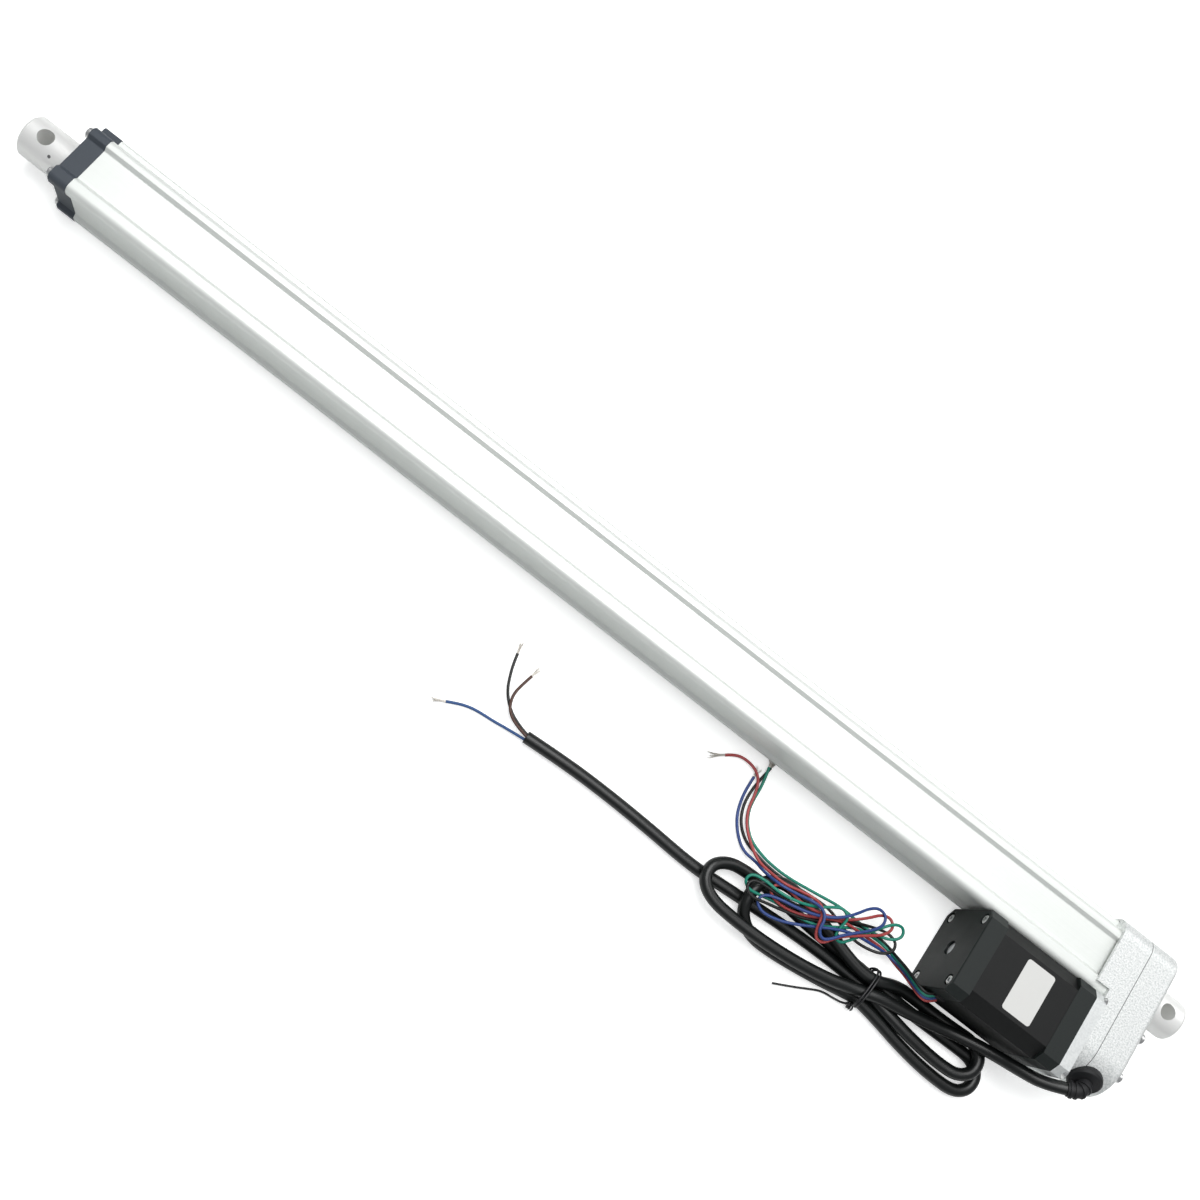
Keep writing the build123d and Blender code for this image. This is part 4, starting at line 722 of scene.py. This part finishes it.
def strand_tree():
    """Bare strands in a round bundle whose tips fan out, along a direction from a wire's end."""
    found = bpy.data.node_groups.get(PREFIX + "_strands")
    if found:
        return found
    tree = bpy.data.node_groups.new(PREFIX + "_strands", "GeometryNodeTree")
    tree.is_modifier = True
    for label, kind, value in (
        ("Geometry", "NodeSocketGeometry", None),
        ("Count", "NodeSocketInt", 12),
        ("Length", "NodeSocketFloat", 0.006),
        ("Strand Radius", "NodeSocketFloat", 0.00016),
        ("Bundle Radius", "NodeSocketFloat", 0.0006),
        ("Flare", "NodeSocketFloat", 0.001),
        ("Seed", "NodeSocketInt", 3),
        ("Tip", "NodeSocketVector", None),
        ("Direction", "NodeSocketVector", None),
        ("Material", "NodeSocketMaterial", None),
    ):
        socket = tree.interface.new_socket(name=label, in_out="INPUT", socket_type=kind)
        if value is not None:
            socket.default_value = value
    tree.interface.new_socket(
        name="Geometry", in_out="OUTPUT", socket_type="NodeSocketGeometry")
    given = tree.nodes.new("NodeGroupInput").outputs
    sink = tree.nodes.new("NodeGroupOutput")
    index = tree.nodes.new("GeometryNodeInputIndex").outputs[0]

    # A sunflower layout fills the round bundle evenly.
    turn = math_node(tree, "MULTIPLY", index, GOLDEN_TURN)
    share = math_node(tree, "DIVIDE", math_node(tree, "ADD", index, 0.5), given["Count"])
    reach = math_node(tree, "MULTIPLY", math_node(tree, "SQRT", share), given["Bundle Radius"])
    place = add_node(
        tree, "ShaderNodeCombineXYZ",
        X=math_node(tree, "MULTIPLY", math_node(tree, "COSINE", turn), reach),
        Y=math_node(tree, "MULTIPLY", math_node(tree, "SINE", turn), reach))
    points = add_node(
        tree, "GeometryNodePoints", Count=given["Count"], Position=place.outputs["Vector"])

    # One strand bends outwards towards its tip.
    half_length = math_node(tree, "MULTIPLY", given["Length"], 0.5)
    middle = add_node(tree, "ShaderNodeCombineXYZ", Z=half_length)
    end = add_node(tree, "ShaderNodeCombineXYZ", X=given["Flare"], Z=given["Length"])
    bend = add_node(
        tree, "GeometryNodeCurveQuadraticBezier", Resolution=STRAND_STEPS,
        Start=(0.0, 0.0, STRAND_ROOT), Middle=middle.outputs["Vector"],
        End=end.outputs["Vector"])
    profile = add_node(
        tree, "GeometryNodeCurvePrimitiveCircle", Resolution=STRAND_SIDES,
        Radius=given["Strand Radius"])
    skin = add_node(
        tree, "GeometryNodeCurveToMesh", Curve=bend.outputs["Curve"],
        Profile_Curve=profile.outputs["Curve"], Fill_Caps=True)

    # Each strand has its own length and a small turn of its own.
    spread = tree.nodes.new("FunctionNodeRandomValue")
    spread.data_type = "FLOAT_VECTOR"
    spread.inputs["Min"].default_value = (0.5, 0.5, 0.78)
    spread.inputs["Max"].default_value = (1.1, 1.1, 1.06)
    feed(tree, given["Seed"], spread.inputs["Seed"])
    facing = add_node(tree, "ShaderNodeCombineXYZ", Z=turn)
    copies = add_node(
        tree, "GeometryNodeInstanceOnPoints", Points=points.outputs[0],
        Instance=skin.outputs["Mesh"], Rotation=facing.outputs["Vector"],
        Scale=spread.outputs["Value"])
    aim = add_node(tree, "FunctionNodeAlignRotationToVector", Vector=given["Direction"])
    aim.axis = "Z"
    move = add_node(
        tree, "GeometryNodeTransform", Geometry=copies.outputs["Instances"],
        Translation=given["Tip"], Rotation=aim.outputs["Rotation"])
    real = add_node(
        tree, "GeometryNodeRealizeInstances", Geometry=move.outputs["Geometry"])
    painted = add_node(
        tree, "GeometryNodeSetMaterial", Geometry=real.outputs["Geometry"],
        Material=given["Material"])
    feed(tree, painted.outputs["Geometry"], sink.inputs["Geometry"])
    return tree


def grow(name, tree, **values):
    """Runs a geometry node tree with its named inputs and keeps the result as a plain mesh."""
    host = link_up(bpy.data.objects.new(name + "_host", bpy.data.meshes.new(name + "_host")))
    modifier = host.modifiers.new("nodes", "NODES")
    modifier.node_group = tree
    sockets = {
        item.name: item.identifier
        for item in tree.interface.items_tree
        if item.in_out == "INPUT"
    }
    for label, value in values.items():
        modifier[sockets[label.replace("_", " ")]] = value
    bpy.context.view_layer.update()
    graph = bpy.context.evaluated_depsgraph_get()
    mesh = bpy.data.meshes.new_from_object(host.evaluated_get(graph))
    mesh.name = name
    for face in mesh.polygons:
        face.use_smooth = True
    empty = host.data
    bpy.data.objects.remove(host)
    bpy.data.meshes.remove(empty)
    return link_up(bpy.data.objects.new(name, mesh))


def strand_tuft(name, cord, radius, length, flare, material, seed):
    """Bare strands at the far end of a wire, as one mesh."""
    line = curve_points(cord)
    return grow(
        name, strand_tree(), Count=STRAND_COUNT, Length=length, Strand_Radius=STRAND_RADIUS,
        Bundle_Radius=radius * BUNDLE_SHARE, Flare=flare, Seed=seed, Tip=line[-1][:],
        Direction=(line[-1] - line[-3]).normalized()[:], Material=material)


# Settings that a user would change.


class LookSettings(bpy.types.PropertyGroup):
    """Colours that a user would change"""

    tube_color: bpy.props.FloatVectorProperty(
        name="Tube colour", description="Colour of the anodised tube", subtype="COLOR", size=3,
        min=0.0, max=1.0, default=(0.80, 0.825, 0.795))
    cast_color: bpy.props.FloatVectorProperty(
        name="Case colour", description="Colour of the cast gearbox case", subtype="COLOR", size=3,
        min=0.0, max=1.0, default=(0.86, 0.87, 0.86))
    floor_color: bpy.props.FloatVectorProperty(
        name="Floor colour", description="Colour of the studio floor", subtype="COLOR", size=3,
        min=0.0, max=1.0, default=(0.80, 0.81, 0.80))


class CordSettings(bpy.types.PropertyGroup):
    """Sizes of the cords"""

    cable_diameter: bpy.props.FloatProperty(
        name="Cable diameter", description="Outer diameter of the sensor cable", subtype="DISTANCE",
        unit="LENGTH", default=0.0078)
    core_diameter: bpy.props.FloatProperty(
        name="Core diameter", description="Outer diameter of each core of the sensor cable",
        subtype="DISTANCE", unit="LENGTH", default=0.0018)
    lead_diameter: bpy.props.FloatProperty(
        name="Lead diameter", description="Outer diameter of each motor lead", subtype="DISTANCE",
        unit="LENGTH", default=0.0019)
    tie_diameter: bpy.props.FloatProperty(
        name="Tie diameter", description="Thickness of the twist tie", subtype="DISTANCE",
        unit="LENGTH", default=0.0014)


class LabelSettings(bpy.types.PropertyGroup):
    """Sizes of the blank motor label"""

    width: bpy.props.FloatProperty(
        name="Width", description="Label size along the motor", subtype="DISTANCE", unit="LENGTH",
        default=0.0203)
    depth: bpy.props.FloatProperty(
        name="Depth", description="Label size across the motor", subtype="DISTANCE", unit="LENGTH",
        default=0.0337)
    corner: bpy.props.FloatProperty(
        name="Corner", description="Radius of the label's corners", subtype="DISTANCE",
        unit="LENGTH", default=0.0018)
    middle_x: bpy.props.FloatProperty(
        name="Middle", description="Place of the label's middle along the motor",
        subtype="DISTANCE", unit="LENGTH", default=0.08975)


# Operators, one for each group of pieces and one for the stage.


class ACTUATOR_OT_finishes(bpy.types.Operator):
    """Give every solid of the frame its finish"""

    bl_idname = "actuator.finishes"
    bl_label = "Finish the frame"

    def execute(self, context):
        looks = finishes()
        for node, finish in NODE_FINISH.items():
            dress(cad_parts[node], looks[finish])
        return {"FINISHED"}


class ACTUATOR_OT_label(bpy.types.Operator):
    """Make the blank label on the motor"""

    bl_idname = "actuator.label"
    bl_label = "Motor label"

    def execute(self, context):
        size = context.scene.actuator_label
        low = STACK_HIGH[2]
        high = low + LABEL_THICKNESS

        def build(shape):
            rim = []
            half_x = size.width / 2 - size.corner
            half_y = size.depth / 2 - size.corner
            for corner, (side_x, side_y) in enumerate(((1, 1), (-1, 1), (-1, -1), (1, -1))):
                for step in range(LABEL_CORNER_STEPS + 1):
                    turn = math.radians(90 * corner + 90 / LABEL_CORNER_STEPS * step)
                    rim.append((
                        size.middle_x + side_x * half_x + size.corner * math.cos(turn),
                        MOTOR_Y + side_y * half_y + size.corner * math.sin(turn),
                    ))
            lower = [shape.verts.new((x, y, low)) for x, y in rim]
            upper = [shape.verts.new((x, y, high)) for x, y in rim]
            shape.faces.new(list(reversed(lower)))
            shape.faces.new(upper)
            for index in range(len(rim)):
                after = (index + 1) % len(rim)
                shape.faces.new((lower[index], lower[after], upper[after], upper[index]))

        label = mesh_object("motor_label", build)
        dress(label, finishes()["label"])
        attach(label, "base")
        return {"FINISHED"}


class ACTUATOR_OT_eye_mark(bpy.types.Operator):
    """Make the small punched mark on the front eye: a dark disc just over the bar, painted shade
    standing in for the dent
    """

    bl_idname = "actuator.eye_mark"
    bl_label = "Punched mark"

    def execute(self, context):
        middle_x = EYE_HIGH[0] - MARK_FROM_NOSE
        bar = (EYE_HIGH[2] - EYE_LOW[2]) / 2

        def on_bar(reach, turn, lift):
            """A point over the bar, at a reach and a turn from the mark's middle."""
            angle = MARK_ANGLE + reach * math.sin(turn) / bar
            return (
                middle_x + reach * math.cos(turn),
                (bar + lift) * math.cos(angle),
                (bar + lift) * math.sin(angle),
            )

        def build(shape):
            rings = [
                [
                    shape.verts.new(
                        on_bar(MARK_RADIUS * share, math.tau * step / MARK_SIDES, lift))
                    for step in range(MARK_SIDES)
                ]
                for share, lift in MARK_RINGS
            ]
            middle = shape.verts.new(on_bar(0.0, 0.0, MARK_MIDDLE_LIFT))
            for step in range(MARK_SIDES):
                after = (step + 1) % MARK_SIDES
                for outer, inner in zip(rings, rings[1:]):
                    shape.faces.new((outer[step], outer[after], inner[after], inner[step]))
                shape.faces.new((rings[-1][step], rings[-1][after], middle))

        # The disc rises a hair over the bar; its dark colour is painted shade of a dent, not a
        # dent.
        mark = mesh_object("eye_mark", build)
        dress(mark, finishes()["mark"])
        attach(mark, "rod")
        return {"FINISHED"}


class ACTUATOR_OT_cable(bpy.types.Operator):
    """Make the sensor cable, its cores and the twist tie"""

    bl_idname = "actuator.cable"
    bl_label = "Sensor cable"

    def execute(self, context):
        looks = finishes()
        size = context.scene.actuator_cords
        cable = curve_object(
            "sensor_cable", route(CABLE_IN + CABLE_HANK + CABLE_OUT), size.cable_diameter / 2,
            resolution=8, sides=7)
        dress(cable, looks["cable"])
        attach(cable, "base")
        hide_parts("sensor_cable_in", "sensor_cable_hank", "sensor_cable_out")
        tie = self.make_tie(size.tie_diameter / 2)
        dress(tie, looks["tie"])
        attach(tie, "base")
        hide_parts("twist_tie")
        curve_length(cable)
        for seed, (name, points, bare) in enumerate(CORES):
            core = curve_object("visible_" + name, route(points), size.core_diameter / 2, sides=4)
            dress(core, looks[name])
            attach(core, "base")
            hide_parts(name)
            tuft = strand_tuft(
                name + "_strands", core, size.core_diameter / 2, bare, CORE_FLARE,
                looks["tinned"], seed)
            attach(tuft, "base")
            curve_length(core)
        return {"FINISHED"}

    def make_tie(self, radius):
        """The tie's ring round the hank, its knot and its tail, as one mesh."""
        middle_y, wide = (TIE_NEAR + TIE_FAR) / 2, (TIE_FAR - TIE_NEAR) / 2
        middle_z, tall = (TIE_HIGH + TIE_LOW) / 2, (TIE_HIGH - TIE_LOW) / 2

        def squared(value):
            """Pushes a sine or cosine outwards, so that the ring hugs the hank's corners."""
            return abs(value) ** TIE_SQUARENESS * math.copysign(1.0, value)

        ring = []
        for step in range(TIE_STEPS):
            turn = math.tau * step / TIE_STEPS
            ring.append((
                TIE_RING_X + TIE_SLANT * math.sin(2 * turn),
                middle_y + wide * squared(math.cos(turn)),
                middle_z + tall * squared(math.sin(turn)),
            ))
        ring.append(ring[0])
        # The second turn beside it stays a little open.
        second = [(x + TIE_SECOND_STEP, y, z) for x, y, z in ring[:-2]]
        knot = []
        for step in range(KNOT_STEPS):
            turn = math.tau * step / KNOT_STEPS_PER_TURN
            knot.append((
                KNOT_START[0] + step * KNOT_PITCH,
                KNOT_START[1] + KNOT_REACH[0] * math.cos(turn),
                KNOT_START[2] + KNOT_REACH[1] * math.sin(turn),
            ))
        parts = [
            curve_object("tie_ring", route(ring), radius, sides=3),
            curve_object("tie_ring_second", route(second), radius, sides=3),
            curve_object("tie_knot", route(knot), radius * KNOT_SHARE, sides=3),
            curve_object("tie_tail", route(TIE_TAIL), radius, sides=3),
        ]
        return join_curves("hank_tie", parts)


class ACTUATOR_OT_leads(bpy.types.Operator):
    """Make the four motor leads with their hank and bare ends"""

    bl_idname = "actuator.leads"
    bl_label = "Motor leads"

    def execute(self, context):
        looks = finishes()
        size = context.scene.actuator_cords
        for seed, (color, shift, hank, out, bare) in enumerate(LEADS, LEAD_FIRST_SEED):
            start = [
                tuple(value + shift * step for value, step in zip(point, LEAD_STEP))
                for point in LEAD_IN
            ]
            wire = curve_object(
                "motor_lead_" + color, route(start + hank + out), size.lead_diameter / 2,
                resolution=6, sides=3)
            dress(wire, looks["wire_" + color])
            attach(wire, "base")
            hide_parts("lead_" + color, "motor_leads_hank")
            tuft = strand_tuft(
                "lead_" + color + "_strands", wire, size.lead_diameter / 2, bare, LEAD_FLARE,
                looks["tinned"], seed)
            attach(tuft, "base")
            curve_length(wire)
        return {"FINISHED"}


class ACTUATOR_OT_stage(bpy.types.Operator):
    """Make the floor, the lights and the camera"""

    bl_idname = "actuator.stage"
    bl_label = "Stage"

    def execute(self, context):
        scene = context.scene
        # The floor touches the motor's rear edge and the tube's front end.
        floor_z = CAD_BOX[0][2] - FLOOR_GAP

        def build(shape):
            shape.faces.new([
                shape.verts.new((x, y, floor_z + FLOOR_TILT * (x - BELL_END_X)))
                for x, y in FLOOR_CORNERS
            ])

        floor = mesh_object("studio_floor", build)
        dress(floor, self.floor_material(tuple(scene.actuator_look.floor_color)))
        for lamp in LAMPS:
            self.light(*lamp)
        world = bpy.data.worlds.new("studio_world")
        world.use_nodes = True
        back = world.node_tree.nodes["Background"]
        back.inputs["Color"].default_value = WORLD_COLOR
        back.inputs["Strength"].default_value = WORLD_STRENGTH
        scene.world = world
        lens = bpy.data.cameras.new("camera")
        lens.lens = CAMERA_LENS
        lens.sensor_width = CAMERA_SENSOR
        lens.shift_x, lens.shift_y = CAMERA_SHIFT
        lens.clip_start, lens.clip_end = CAMERA_REACH
        camera = link_up(bpy.data.objects.new("camera", lens))
        camera.location = CAMERA_PLACE
        camera.rotation_euler = [math.radians(angle) for angle in CAMERA_TURN]
        scene.camera = camera
        scene.view_settings.view_transform = "Standard"
        return {"FINISHED"}

    def floor_material(self, color):
        """A pale floor that the camera sees as white, apart from the shadow."""
        material, shader = start_material("studio_floor")
        tree = material.node_tree
        shader.inputs["Base Color"].default_value = (*color, 1.0)
        shader.inputs["Roughness"].default_value = 0.9
        shader.inputs["Specular IOR Level"].default_value = 0.1
        shader.inputs["Emission Color"].default_value = (1.0, 1.0, 1.0, 1.0)
        seen = add_node(tree, "ShaderNodeLightPath").outputs["Is Camera Ray"]
        glow = math_node(tree, "MULTIPLY", seen, FLOOR_GLOW)
        feed(tree, glow, shader.inputs["Emission Strength"])
        return material

    def light(self, name, place, target, size, power):
        """One soft square lamp that points at a place on the object."""
        data = bpy.data.lights.new(name, "AREA")
        data.size = size
        data.energy = power
        lamp = link_up(bpy.data.objects.new(name, data))
        lamp.location = place
        lamp.rotation_euler = (Vector(target) - Vector(place)).to_track_quat("-Z", "Y").to_euler()


class ACTUATOR_PT_panel(bpy.types.Panel):
    """Buttons and settings of the actuator"""

    bl_idname = "ACTUATOR_PT_panel"
    bl_label = "Actuator"
    bl_space_type = "VIEW_3D"
    bl_region_type = "UI"
    bl_category = "Actuator"

    def draw(self, context):
        layout = self.layout
        for settings in (context.scene.actuator_look, context.scene.actuator_cords,
                         context.scene.actuator_label):
            box = layout.box()
            for name in settings.__annotations__:
                box.prop(settings, name)
        for operator in OPERATORS:
            layout.operator(operator.bl_idname)


SETTINGS = (
    ("actuator_look", LookSettings),
    ("actuator_cords", CordSettings),
    ("actuator_label", LabelSettings),
)
OPERATORS = (
    ACTUATOR_OT_finishes,
    ACTUATOR_OT_label,
    ACTUATOR_OT_eye_mark,
    ACTUATOR_OT_cable,
    ACTUATOR_OT_leads,
    ACTUATOR_OT_stage,
)


def register():
    """Registers the settings, the operators and the panel."""
    for name, settings in SETTINGS:
        bpy.utils.register_class(settings)
        setattr(bpy.types.Scene, name, bpy.props.PointerProperty(type=settings))
    for operator in OPERATORS:
        bpy.utils.register_class(operator)
    bpy.utils.register_class(ACTUATOR_PT_panel)


def unregister():
    """Takes back what register did."""
    bpy.utils.unregister_class(ACTUATOR_PT_panel)
    for operator in reversed(OPERATORS):
        bpy.utils.unregister_class(operator)
    for name, settings in reversed(SETTINGS):
        delattr(bpy.types.Scene, name)
        bpy.utils.unregister_class(settings)


def main():
    """Builds the whole scene."""
    register()
    for operator in OPERATORS:
        group, name = operator.bl_idname.split(".")
        getattr(getattr(bpy.ops, group), name)()


if __name__ == "__main__":
    main()
